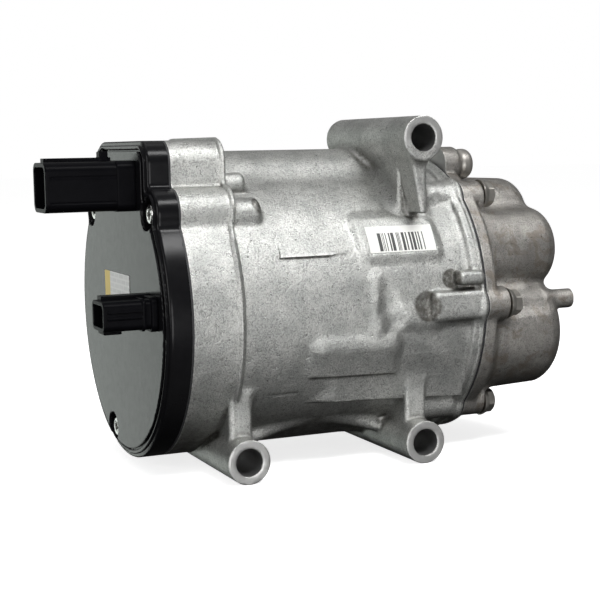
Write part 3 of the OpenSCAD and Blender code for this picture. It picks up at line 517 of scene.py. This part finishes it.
def hv_field(p):
    x, y, z = p
    tip, base = hv_lo[0], COVER_FACE - 7.5
    (y0, z0), (y1, z1) = HV
    f = both(rect(y, z, HV[0], HV[1], 3.6), slab(x, tip, COVER_FACE), 0.3)
    foot = rect(y, z, (y0 - 0.3, z0 - 0.3), (y1 + 0.5, z1 + 0.3), 3.2)
    f = join(f, both(foot, slab(x, base, COVER_FACE), 0.4))
    # keying rail, lock bump and panel line
    f = join(f, block(p, (tip + 3, base + 2), (-12, -7.1), (z1 - 1, 63.3), 0.3), 0.3)
    f = join(f, block(p, (-87, -83.5), (-12, -7.1), (z1 - 1, 65.6), 0.5), 0.4)
    f = less(f, block(p, (tip + 2, base), (y0 - 1, y0 + 0.22), (55.6, 56.1)), 0.15)
    f = less(f, block(p, (tip + 2, base), (y0 - 1, y0 + 0.22), (46.2, 46.6)), 0.15)
    mouth = rect(y, z, (y0 + 1.7, z0 + 1.7), (y1 - 1.7, z1 - 1.7), 2.4)
    f = less(f, both(mouth, slab(x, tip - 3, base)), 0.3)
    # centre wall between the blades
    mid = (y0 + y1) / 2
    f = join(f, block(p, (tip + 7, base + 1), (mid - 0.9, mid + 0.9), (z0 + 1, z1 - 1), 0.3), 0.4)
    f = join(f, block(p, (COVER_FACE - 1, COVER_FACE + 5), (mid - 4.8, mid + 4.8), (48.3, 55.9), 0.3))
    for centre in (blades_lo[1] + 2.6, blades_hi[1] - 2.6):
        slot = block(p, (-90, -60), (centre - 2.7, centre + 2.7), (blades_lo[2] - 0.1, blades_hi[2] + 0.1))
        f = less(f, slot)
    return f


def lv_field(p):
    x, y, z = p
    tip, base = lv_lo[0], COVER_FACE - 2.6
    (y0, z0), (y1, z1) = LV
    f = both(rect(y, z, LV[0], LV[1], 2.4), slab(x, tip, COVER_FACE), 0.3)
    foot = rect(y, z, (y0 - 1, z0 - 1), (y1 + 1, z1 + 1), 2.8)
    f = join(f, both(foot, slab(x, base, COVER_FACE), 0.5), 0.4)
    collar = rect(y, z, (y0 - 0.6, z0 - 0.6), (y1 + 0.6, z1 + 0.6), 2.6)
    f = join(f, both(collar, slab(x, base - 3.4, base - 2.2), 0.4), 0.3)
    f = join(f, block(p, (tip + 2, COVER_FACE), (-40, -34.2), (z1 - 1, 11.2), 0.4), 0.3)
    f = join(f, block(p, (-97, -90), (-46, -38), (-2.9, z0 + 1), 0.5), 0.3)
    for level in (3.2, 5.6):
        f = join(f, block(p, (tip + 1.5, base - 3), (y0 - 0.45, y0 + 1), (level, level + 1.0), 0.25), 0.2)
    mouth = rect(y, z, (y0 + 1.5, z0 + 1.5), (y1 - 1.5, z1 - 1.5), 1.4)
    f = less(f, both(mouth, slab(x, tip - 3, base)), 0.3)
    mid_y, mid_z = (y0 + y1) / 2, (z0 + z1) / 2
    plug = block(p, (COVER_FACE - 1, COVER_FACE + 5), (mid_y - 4.8, mid_y + 4.8),
                 (mid_z - 3.2, mid_z + 3.2), 0.2)
    f = join(f, plug)
    for cy in (-46, -42, -38):
        for cz in (2, 6.3):
            f = less(f, block(p, (-90, -60), (cy - 0.42, cy + 0.42), (cz - 0.42, cz + 0.42)))
    return f


# ---------- fasteners ----------

def hexagon(y, z, flat):
    """Hexagon with that distance from its centre to a flat."""
    sides = [np.abs(y * math.cos(a) + z * math.sin(a)) - flat for a in (0, math.pi / 3, 2 * math.pi / 3)]
    return np.maximum(np.maximum(sides[0], sides[1]), sides[2])


def cover_screw_field(p):
    """One cover screw on the X axis, its head's underside at x = 0 and its head towards -X."""
    x, y, z = p
    angle = np.arctan2(z, y)
    f = rod_x(p, 2.4, -1, 20)
    f = join(f, rod_x(p, 3.9, -3.4, 0, 0, 0, 0.8))
    star = np.hypot(y, z) - 2.05 - 0.42 * np.cos(6 * angle)
    return less(f, both(star, slab(x, -6, -1.3)), 0.25)


def flange_bolt_field(p):
    """One rear bolt on the X axis, its seat at x = 0 and its head towards +X."""
    x, y, z = p
    radius = np.hypot(y, z)
    f = rod_x(p, 3.0, -28, 1)
    f = join(f, both(radius - 6.55 + 0.35 * np.maximum(x, 0), slab(x, 0, 2.2), 0.3))
    head = both(hexagon(y, z, 4.85), slab(x, 0.5, 6.2))
    head = both(head, radius - 5.45 + np.maximum(x - 5.1, 0) * 1.4, 0.15)
    f = join(f, head, 0.5)
    return less(f, rod_x(p, 2.7, 5.5, 8, 0, 0), 0.5)


def copies(points, quads, places):
    """The same mesh at each (x, y, z, turn about X)."""
    all_points, all_quads = [], []
    for i, (x, y, z, turn) in enumerate(places):
        c, s = math.cos(turn), math.sin(turn)
        turned = points @ np.array([[1, 0, 0], [0, c, s], [0, -s, c]])
        all_points.append(turned + np.array([x, y, z]))
        all_quads.append(quads + i * len(points))
    return np.concatenate(all_points), np.concatenate(all_quads)


def relief_valve_field(p):
    x, y, z = p
    q = (x, y - VALVE[0], z - VALVE[1])
    seat = valve_hi[0] - 7.5
    f = rod_x(q, 4.0, valve_lo[0], seat + 1)
    f = join(f, rod_x(q, 6.6, seat, seat + 7.5, 0, 0, 3.2))
    return less(f, rod_x(q, 1.6, seat + 6.4, seat + 9), 0.2)


# ---------- materials ----------

class Tree:
    """A node material on one Principled shader."""

    def __init__(self, name, **sockets):
        self.material = bpy.data.materials.new(name)
        self.material.use_nodes = True
        self.nodes = self.material.node_tree.nodes
        self.links = self.material.node_tree.links
        self.shader = self.nodes["Principled BSDF"]
        self.place = self.add("ShaderNodeTexCoord").outputs["Object"]
        for key, value in sockets.items():
            self.put(self.shader, key, value)

    def put(self, node, key, value):
        socket = node.inputs[key]
        if isinstance(value, bpy.types.NodeSocket):
            self.links.new(value, socket)
        else:
            socket.default_value = value

    def add(self, kind, settings=None, inputs=None):
        node = self.nodes.new(kind)
        for key, value in (settings or {}).items():
            setattr(node, key, value)
        for key, value in (inputs or {}).items():
            self.put(node, key, value)
        return node

    def noise(self, size, detail=3.0, roughness=0.55, stretch=None, distortion=0.0):
        """Noise whose lumps are about size millimetres across."""
        place = self.place
        if stretch:
            place = self.add("ShaderNodeMapping", {}, {"Vector": place, "Scale": stretch}).outputs[0]
        node = self.add("ShaderNodeTexNoise", {}, {
            "Vector": place, "Scale": 1 / (size * MM), "Detail": detail, "Roughness": roughness,
            "Distortion": distortion})
        return node.outputs["Fac"]

    def math(self, operation, a, b=0.0, c=0.0):
        node = self.add("ShaderNodeMath", {"operation": operation}, {0: a, 1: b})
        if operation in ("MULTIPLY_ADD", "SMOOTH_MIN", "SMOOTH_MAX"):
            self.put(node, 2, c)
        return node.outputs[0]

    def ramp(self, value, lo, hi, to_lo=0.0, to_hi=1.0):
        """value from lo to hi becomes to_lo to to_hi, clamped."""
        node = self.add("ShaderNodeMapRange", {"interpolation_type": "SMOOTHSTEP"}, {
            "Value": value, "From Min": lo, "From Max": hi, "To Min": to_lo, "To Max": to_hi})
        return node.outputs[0]

    def mix(self, factor, a, b, blend="MIX"):
        node = self.add("ShaderNodeMix", {"data_type": "RGBA", "blend_type": blend})
        self.put(node, 0, factor)
        self.put(node, 6, a)
        self.put(node, 7, b)
        return node.outputs[2]

    def bump(self, height, depth, strength=1.0):
        """Adds a relief of depth millimetres to the shader's normal."""
        node = self.add("ShaderNodeBump", {}, {
            "Height": height, "Distance": depth * MM, "Strength": strength})
        before = self.shader.inputs["Normal"].links
        if before:
            self.links.new(before[0].from_socket, node.inputs["Normal"])
        self.links.new(node.outputs[0], self.shader.inputs["Normal"])

    def axis(self, name):
        return self.add("ShaderNodeSeparateXYZ", {}, {0: self.place}).outputs[name]


def rgb(r, g, b):
    return (r, g, b, 1.0)


def cast_metal(name, light, dark, stain, stain_share, speck=0.65):
    """Die-cast aluminium: grainy skin, cloudy tone, soft waviness, stains in patches, painted shade in the
    hollows, on undersides and at the dark boss ends, and painted highlights along the edges."""
    t = Tree(name, Metallic=0.8)
    cloud = t.noise(14, 4, 0.6)
    grain = t.noise(0.6, 3, 0.7)
    pit = t.noise(2.2, 5, 0.75)
    # vertex masks for the painted shade and the painted edge highlight
    shade_mask = t.add("ShaderNodeAttribute", {"attribute_name": "shade_mask"}).outputs["Fac"]
    edge = t.add("ShaderNodeAttribute", {"attribute_name": "edge"}).outputs["Fac"]
    colour = t.mix(t.ramp(cloud, 0.35, 0.68), light, dark)
    specks = t.math("MULTIPLY", t.ramp(grain, 0.42, 0.56, speck, 0.0), t.ramp(pit, 0.42, 0.66, 1.0, 0.3))
    colour = t.mix(specks, colour, rgb(0.17, 0.17, 0.165))
    patches = t.ramp(t.noise(9, 5, 0.65, None, 0.6), stain_share, stain_share + 0.12)
    colour = t.mix(t.math("MULTIPLY", patches, 0.55), colour, stain)
    # painted shade: a dark colour where the shade mask is high (hollows, undersides, dark boss ends), broken up by
    # blotches
    blotches = t.ramp(t.noise(3, 4, 0.7), 0.30, 0.60, 0.55, 0.95)
    painted_shade = t.math("MULTIPLY", t.ramp(shade_mask, 0.12, 0.62), blotches)
    colour = t.mix(painted_shade, colour, rgb(0.075, 0.07, 0.06))
    # painted highlight: a light colour along convex edges, broken up by the pits
    painted_edge_highlight = t.math("MULTIPLY", t.ramp(edge, 0.25, 0.75), t.ramp(pit, 0.40, 0.55, 0.2, 0.8))
    colour = t.mix(painted_edge_highlight, colour, rgb(0.74, 0.74, 0.72))
    t.put(t.shader, "Base Color", colour)
    t.put(t.shader, "Roughness", t.math("MULTIPLY_ADD", pit, 0.24, 0.19))
    t.bump(t.noise(26, 2, 0.5), 0.5)
    t.bump(pit, 0.32)
    t.bump(grain, 0.22)
    return t


def machined_metal(name, colour, roughness=0.3, ring=0.35, depth=0.02):
    """Turned or milled metal with fine tool marks."""
    t = Tree(name, Metallic=0.85)
    cloud = t.noise(6, 3, 0.6)
    darker = tuple(c * 0.86 for c in colour[:3]) + (1,)
    t.put(t.shader, "Base Color", t.mix(t.ramp(cloud, 0.3, 0.7), colour, darker))
    t.put(t.shader, "Roughness", t.math("MULTIPLY_ADD", t.noise(1.2, 3), 0.18, roughness - 0.06))
    t.bump(t.noise(ring, 2, 0.5, (1, 1, 0.2)), depth)
    return t


def smooth(name, colour, roughness=0.4, metallic=0.0, grain=0.5, depth=0.02, vary=0.12, **more):
    """Moulded, painted or plated surface with fine grain and slight unevenness of tone."""
    t = Tree(name, Metallic=metallic, **more)
    darker = tuple(c * (1 - vary) for c in colour[:3]) + (1.0,)
    t.put(t.shader, "Base Color", t.mix(t.ramp(t.noise(5, 3), 0.3, 0.7), colour, darker))
    t.put(t.shader, "Roughness", t.math("MULTIPLY_ADD", t.noise(3, 3), 0.12, roughness - 0.06))
    t.bump(t.noise(grain, 3), depth)
    return t


cast = cast_metal("cast_aluminium_skin", rgb(0.60, 0.605, 0.58), rgb(0.43, 0.437, 0.42),
                  rgb(0.30, 0.29, 0.27), 0.66)
rear_cast = cast_metal("cast_rear_skin", rgb(0.45, 0.43, 0.40), rgb(0.29, 0.275, 0.255),
                       rgb(0.19, 0.155, 0.12), 0.50)
face_metal = machined_metal("machined_face", rgb(0.52, 0.52, 0.51), 0.42)
bore_metal = machined_metal("machined_bore", rgb(0.34, 0.34, 0.34), 0.4)
black_paint = smooth("black_gloss_paint", rgb(0.006, 0.006, 0.007), 0.22, 0.0, 1.4, 0.004, 0.2)
black_paint.put(black_paint.shader, "Specular IOR Level", 0.15)
black_plastic = smooth("black_moulded_plastic", rgb(0.004, 0.004, 0.005), 0.30, 0.0, 0.35, 0.006, 0.2)
black_plastic.put(black_plastic.shader, "Specular IOR Level", 0.02)
zinc = smooth("zinc_plated_steel", rgb(0.74, 0.74, 0.72), 0.24, 1.0, 0.5, 0.02, 0.25)
dull_steel = smooth("dull_bolt_steel", rgb(0.52, 0.50, 0.46), 0.38, 1.0, 0.6, 0.04, 0.3)
valve_steel = machined_metal("valve_body_metal", rgb(0.36, 0.345, 0.32), 0.40, 0.5, 0.03)


def label_material():
    """White label with plain upright bars of uneven width and no number."""
    t = Tree("barcode_label_print", Roughness=0.45)
    x, z = t.axis("X"), t.axis("Z")
    lo, hi = label_lo * MM, label_hi * MM
    lift = SHAFT[2] * MM
    wide = hi[0] - lo[0]
    along = t.add("ShaderNodeCombineXYZ", {}, {"X": x}).outputs[0]
    noise = t.add("ShaderNodeTexNoise", {}, {"Vector": along, "Scale": 850.0, "Detail": 1.0}).outputs["Fac"]
    bars = t.math("GREATER_THAN", noise, 0.49)
    from_left = t.math("GREATER_THAN", x, lo[0] + 0.15 * wide)
    to_right = t.math("LESS_THAN", x, lo[0] + 0.84 * wide)
    box = t.math("MULTIPLY", from_left, to_right)
    low = t.math("GREATER_THAN", z, lift + lo[2] + 0.05 * (hi[2] - lo[2]))
    high = t.math("LESS_THAN", z, lift + lo[2] + 0.74 * (hi[2] - lo[2]))
    ink = t.math("MULTIPLY", t.math("MULTIPLY", bars, box), t.math("MULTIPLY", low, high))
    paper = t.mix(t.noise(4, 3), rgb(0.86, 0.86, 0.83), rgb(0.78, 0.78, 0.75))
    t.put(t.shader, "Base Color", t.mix(ink, paper, rgb(0.04, 0.04, 0.04)))
    t.bump(t.noise(1.5, 2), 0.01)
    return t


def rating_material():
    """White plate with a yellow strip and plain grey blocks where its fields would be."""
    t = Tree("rating_label_print", Roughness=0.4)
    y, z = t.axis("Y"), t.axis("Z")
    lo, hi = rating_lo * MM, rating_hi * MM
    strip_y = hi[1] - 0.22 * (hi[1] - lo[1])
    strip = t.math("GREATER_THAN", y, strip_y)
    cells = t.add("ShaderNodeCombineXYZ", {}, {"X": y, "Y": z}).outputs[0]
    brick = t.add("ShaderNodeTexBrick", {"offset": 0.5}, {
        "Vector": cells, "Scale": 1 / (4 * MM), "Mortar Size": 0.10, "Brick Width": 1.6, "Row Height": 0.55,
        "Color1": rgb(0.45, 0.45, 0.45), "Color2": rgb(0.62, 0.62, 0.62), "Mortar": rgb(0.82, 0.82, 0.8)})
    plate = t.mix(0.65, brick.outputs["Color"], rgb(0.8, 0.8, 0.78))
    t.put(t.shader, "Base Color", t.mix(strip, plate, rgb(0.78, 0.56, 0.08)))
    t.bump(t.noise(1.2, 2), 0.01)
    return t


def banded(t, axis, size, depth):
    """Fine parallel ridges, as on a laminated stack or a winding."""
    wave = t.add("ShaderNodeTexWave", {"wave_type": "BANDS", "bands_direction": axis}, {
        "Vector": t.place, "Scale": 0.314 / (size * MM), "Distortion": 0.6, "Detail": 1.0})
    t.bump(wave.outputs["Fac"], depth)
    return t


def board_material():
    """Green solder mask with lighter tracks under it."""
    t = smooth("solder_mask", rgb(0.02, 0.16, 0.07), 0.3, 0, 0.4, 0.01)
    plane = t.add("ShaderNodeCombineXYZ", {}, {"X": t.axis("Y"), "Y": t.axis("Z")}).outputs[0]
    brick = t.add("ShaderNodeTexBrick", {"offset": 0.4}, {
        "Vector": plane, "Scale": 1 / (3 * MM), "Mortar Size": 0.06, "Brick Width": 1.9, "Row Height": 0.5,
        "Color1": rgb(0.02, 0.16, 0.07), "Color2": rgb(0.03, 0.20, 0.09), "Mortar": rgb(0.08, 0.34, 0.16)})
    t.put(t.shader, "Base Color", brick.outputs["Color"])
    t.bump(brick.outputs["Fac"], -0.03)
    return t


steel = machined_metal("ground_steel", rgb(0.62, 0.62, 0.62), 0.24, 0.4, 0.01)
scroll_metal = machined_metal("scroll_aluminium", rgb(0.72, 0.73, 0.74), 0.32, 0.5, 0.02)
SLOT_LOOKS = {
    "gasket": smooth("gasket_rubber", rgb(0.03, 0.03, 0.032), 0.6, 0, 0.5, 0.03),
    "zinc_steel": zinc,
    "contact_brass": smooth("tinned_brass", rgb(0.80, 0.62, 0.30), 0.28, 1.0, 0.5, 0.01),
    "board_green": board_material(),
    "chip_black": smooth("chip_resin", rgb(0.02, 0.02, 0.022), 0.5, 0, 0.3, 0.02),
    "capacitor_sleeve": smooth("capacitor_sleeve_film", rgb(0.03, 0.05, 0.13), 0.32),
    "ferrite": smooth("ferrite_body", rgb(0.06, 0.06, 0.065), 0.55, 0, 0.4, 0.03),
    "copper": banded(smooth("enamelled_copper", rgb(0.70, 0.30, 0.12), 0.3, 0.9, 0.5, 0.01), "X", 0.8, 0.15),
    "thermal_pad": smooth("silicone_pad", rgb(0.45, 0.45, 0.50), 0.75, 0, 0.6, 0.05),
    "bright_steel": steel,
    "glass_seal": smooth("sealing_glass", rgb(0.05, 0.14, 0.16), 0.15, 0, 0.8, 0.01),
    "insulator": smooth("nylon_insulator", rgb(0.72, 0.68, 0.55), 0.45, 0, 0.7, 0.02),
    "lead_red": smooth("lead_insulation", rgb(0.36, 0.03, 0.02), 0.42, 0, 0.5, 0.02),
    "core_steel": banded(machined_metal("lamination_steel", rgb(0.40, 0.41, 0.43), 0.4), "X", 0.5, 0.08),
    "magnet": smooth("magnet_nickel", rgb(0.42, 0.41, 0.38), 0.3, 1.0, 0.6, 0.02),
    "balance_brass": machined_metal("balance_brass_metal", rgb(0.66, 0.52, 0.26), 0.34),
    "bearing_steel": machined_metal("bearing_steel_metal", rgb(0.66, 0.66, 0.67), 0.16, 0.3, 0.006),
    "machined_aluminium": scroll_metal,
    "tip_seal": smooth("filled_ptfe", rgb(0.035, 0.03, 0.028), 0.5, 0, 0.4, 0.03),
    "spring_steel": machined_metal("blued_spring_steel", rgb(0.32, 0.36, 0.42), 0.25, 0.4, 0.01),
    "cast_aluminium": cast,
    "cast_aluminium_rear": rear_cast,
    "black_paint": black_paint,
    "black_plastic": black_plastic,
}

slot_of = {entry["node"]: entry["material_slot"] for entry in frame["record"]["subparts"]}

for name, node in frame["nodes"].items():
    look = SLOT_LOOKS.get(slot_of[name], steel)
    if name == "barcode_label":
        look = label_material()
    if name == "rating_label":
        look = rating_material()
    node.data.materials.clear()
    node.data.materials.append(look.material)


# ---------- the pieces ----------

def casting_faces(centres, normals):
    """1 on machined faces, 2 inside the bores, 0 on the cast skin."""
    x, y, z = centres.T
    picked = np.zeros(len(centres))
    by_lug = np.min([np.hypot(x - lug[0], z - lug[2]) for lug in LUGS], axis=0)
    flat = (np.abs(y - LUG_FACE) < 0.06) & (by_lug < LUG_R)
    flat |= (np.abs(x - COVER_JOINT) < 0.06) | (np.abs(x - REAR_JOINT) < 0.06)
    flat |= (np.abs(y - PORT_FACE) < 0.06) & (normals[:, 1] > 0.98)
    picked[flat] = 1
    inside = (np.hypot(y, z) < SCROLL_BORE + 0.1) & (x > MOTOR_X - 0.1)
    for lug in LUGS:
        inside |= np.hypot(x - lug[0], z - lug[2]) < LUG_BORE + 0.05
    picked[inside & ~flat] = 2
    return picked


points, quads = contour(casting, (-66, -63, -64), (61, 64, 79), 0.8)
motor_housing = piece("motor_housing_casting", points, quads,
                      [cast.material, face_metal.material, bore_metal.material], casting_faces,
                      field=casting)
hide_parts("motor_housing")


def rear_faces(centres, normals):
    x, y, z = centres.T
    picked = np.zeros(len(centres))
    flat = (np.abs(x - REAR_X) < 0.06) | ((np.abs(x - BOLT_SEAT) < 0.06) & (normals[:, 0] > 0.98))
    flat |= (np.abs(x - OUT_FACE) < 0.06) & (normals[:, 0] > 0.98)
    picked[flat] = 1
    return picked


points, quads = contour(rear_casting, (61, -64, -64), (113, 64, 67), 0.8)
rear_housing = piece("rear_housing_casting", points, quads, [rear_cast.material, face_metal.material],
                     rear_faces, field=rear_casting)
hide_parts("rear_housing")

points, quads = contour(cover_field, (-77, -61, -61), (-66.5, 61, 70), 0.5)
cover = piece("inverter_cover_shell", points, quads, [black_paint.material])
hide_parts("inverter_cover")

points, quads = contour(hv_field, hv_lo, hv_hi, 0.35)
hv_shell = piece("hv_socket_shell", points, quads, [black_plastic.material])
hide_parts("hv_connector_shell")

points, quads = contour(lv_field, lv_lo, lv_hi, 0.28)
lv_shell = piece("lv_socket_shell", points, quads, [black_plastic.material])
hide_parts("lv_connector_shell")

points, quads = contour(cover_screw_field, (-3.4, -4.1, -4.1), (20, 4.1, 4.1), 0.2)
places = [(SCREW_HEAD_X, s[0], s[1], i * 0.4) for i, s in enumerate(SCREWS)]
points, quads = copies(points, quads, places)
screws = piece("cover_screw_set", points, quads, [zinc.material])
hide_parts("cover_screws")

points, quads = contour(flange_bolt_field, (-28, -6.6, -6.6), (6.2, 6.6, 6.6), 0.33)
places = [(BOLT_SEAT, b[0], b[1], i * 0.7) for i, b in enumerate(BOLTS)]
points, quads = copies(points, quads, places)
bolts = piece("rear_bolt_set", points, quads, [dull_steel.material])
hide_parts("housing_bolts")

points, quads = contour(relief_valve_field, valve_lo, valve_hi, 0.3)
valve = piece("relief_valve_body", points, quads, [valve_steel.material])
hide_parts("relief_valve")


# ---------- stage, light and camera ----------

def lamp(name, at, towards, size, power, tint=(1, 1, 1)):
    data = bpy.data.lights.new(name, "AREA")
    data.shape = "RECTANGLE"
    data.size, data.size_y = size
    data.energy = power
    data.color = tint
    made = bpy.data.objects.new(name, data)
    bpy.context.scene.collection.objects.link(made)
    made.location = at
    made.rotation_euler = (Vector(towards) - Vector(at)).to_track_quat("-Z", "Y").to_euler()
    made.visible_camera = False
    return made


centre = (0.0, 0.0, 0.07)
lamp("key_softbox", (0.14, -0.53, 0.84), centre, (0.60, 0.22), 7.0)
lamp("top_softbox", (-0.10, 0.15, 0.95), centre, (0.8, 0.4), 0.7)
lamp("front_card", (-0.20, -1.10, 0.0), centre, (0.8, 0.5), 5.8)
lamp("left_fill", (-1.1, -0.30, 0.30), centre, (0.5, 0.6), 4.0)
lamp("back_card", (-0.205, 0.42, 0.02), (-0.10, 0.0, 0.05), (0.16, 0.7), 0.45, (0.93, 1.0, 0.95))

floor_mesh = bpy.data.meshes.new("floor")
floor_mesh.from_pydata([(-6, -6, 0), (6, -6, 0), (6, 6, 0), (-6, 6, 0)], [], [(0, 1, 2, 3)])
floor = bpy.data.objects.new("floor", floor_mesh)
bpy.context.scene.collection.objects.link(floor)
floor_look = Tree("pale_floor", Roughness=0.9)
floor_look.put(floor_look.shader, "Base Color", rgb(0.9, 0.9, 0.9))
floor_look.put(floor_look.shader, "Emission Color", rgb(1, 1, 1))
floor_look.put(floor_look.shader, "Emission Strength", 0.75)
floor_mesh.materials.append(floor_look.material)
floor.visible_diffuse = False
floor.visible_glossy = False

FLOOR_GLOW = 0.5
world = bpy.data.worlds.new("studio")
bpy.context.scene.world = world
world.use_nodes = True
nodes, links = world.node_tree.nodes, world.node_tree.links
nodes.clear()
output = nodes.new("ShaderNodeOutputWorld")
shown = nodes.new("ShaderNodeBackground")
shown.inputs["Color"].default_value = rgb(1, 1, 1)
seen = nodes.new("ShaderNodeBackground")
where = nodes.new("ShaderNodeTexCoord")
split = nodes.new("ShaderNodeSeparateXYZ")
links.new(where.outputs["Generated"], split.inputs[0])
height = nodes.new("ShaderNodeValToRGB")
height.color_ramp.elements[0].position = 0.30
height.color_ramp.elements[0].color = rgb(0.03, 0.03, 0.03)
height.color_ramp.elements[1].position = 0.95
height.color_ramp.elements[1].color = rgb(0.75, 0.75, 0.75)
middle = height.color_ramp.elements.new(0.5)
middle.color = rgb(0.30, 0.30, 0.30)
lift = nodes.new("ShaderNodeMath")
lift.operation = "MULTIPLY_ADD"
lift.inputs[1].default_value = 0.5
lift.inputs[2].default_value = 0.5
links.new(split.outputs["Z"], lift.inputs[0])
links.new(lift.outputs[0], height.inputs[0])
side = nodes.new("ShaderNodeMapRange")
side.inputs["From Min"].default_value = -1
side.inputs["From Max"].default_value = 0.3
side.inputs["To Min"].default_value = 0.35
side.inputs["To Max"].default_value = 0.46
links.new(split.outputs["X"], side.inputs["Value"])
# the pale floor's glow, towards the front
front = nodes.new("ShaderNodeMapRange")
front.inputs["From Min"].default_value = 0.1
front.inputs["From Max"].default_value = -0.6
links.new(split.outputs["Y"], front.inputs["Value"])
low = nodes.new("ShaderNodeMapRange")
low.inputs["From Min"].default_value = 0.1
low.inputs["From Max"].default_value = -0.2
low.inputs["To Max"].default_value = FLOOR_GLOW
links.new(split.outputs["Z"], low.inputs["Value"])
glow = nodes.new("ShaderNodeMath")
glow.operation = "MULTIPLY"
links.new(front.outputs[0], glow.inputs[0])
links.new(low.outputs[0], glow.inputs[1])
total = nodes.new("ShaderNodeVectorMath")
links.new(height.outputs[0], total.inputs[0])
links.new(glow.outputs[0], total.inputs[1])
links.new(total.outputs[0], seen.inputs["Color"])
links.new(side.outputs[0], seen.inputs["Strength"])
path = nodes.new("ShaderNodeLightPath")
pick = nodes.new("ShaderNodeMixShader")
links.new(path.outputs["Is Camera Ray"], pick.inputs[0])
links.new(seen.outputs[0], pick.inputs[1])
links.new(shown.outputs[0], pick.inputs[2])
links.new(pick.outputs[0], output.inputs["Surface"])

AZIMUTH, ELEVATION, ROLL = (math.radians(v) for v in (23.846, 6.462, -0.967))
back = Vector((-math.sin(AZIMUTH) * math.cos(ELEVATION), -math.cos(AZIMUTH) * math.cos(ELEVATION),
               math.sin(ELEVATION)))
flat_right = (-back).cross(Vector((0, 0, 1))).normalized()
flat_up = flat_right.cross(-back)
right = flat_right * math.cos(ROLL) + flat_up * math.sin(ROLL)
up = flat_up * math.cos(ROLL) - flat_right * math.sin(ROLL)
camera_data = bpy.data.cameras.new("camera")
camera_data.lens = 81.55
camera_data.sensor_width = 36.0
camera = bpy.data.objects.new("camera", camera_data)
bpy.context.scene.collection.objects.link(camera)
CAMERA_DISTANCE = 590.9
eye = back * CAMERA_DISTANCE + Vector((3.81, 0, -0.03)) + Vector(SHAFT)
camera.matrix_world = Matrix.Translation(eye * MM) @ Matrix((
    (right.x, up.x, back.x, 0), (right.y, up.y, back.y, 0), (right.z, up.z, back.z, 0), (0, 0, 0, 1)))
bpy.context.scene.camera = camera
bpy.context.scene.view_settings.view_transform = "Standard"
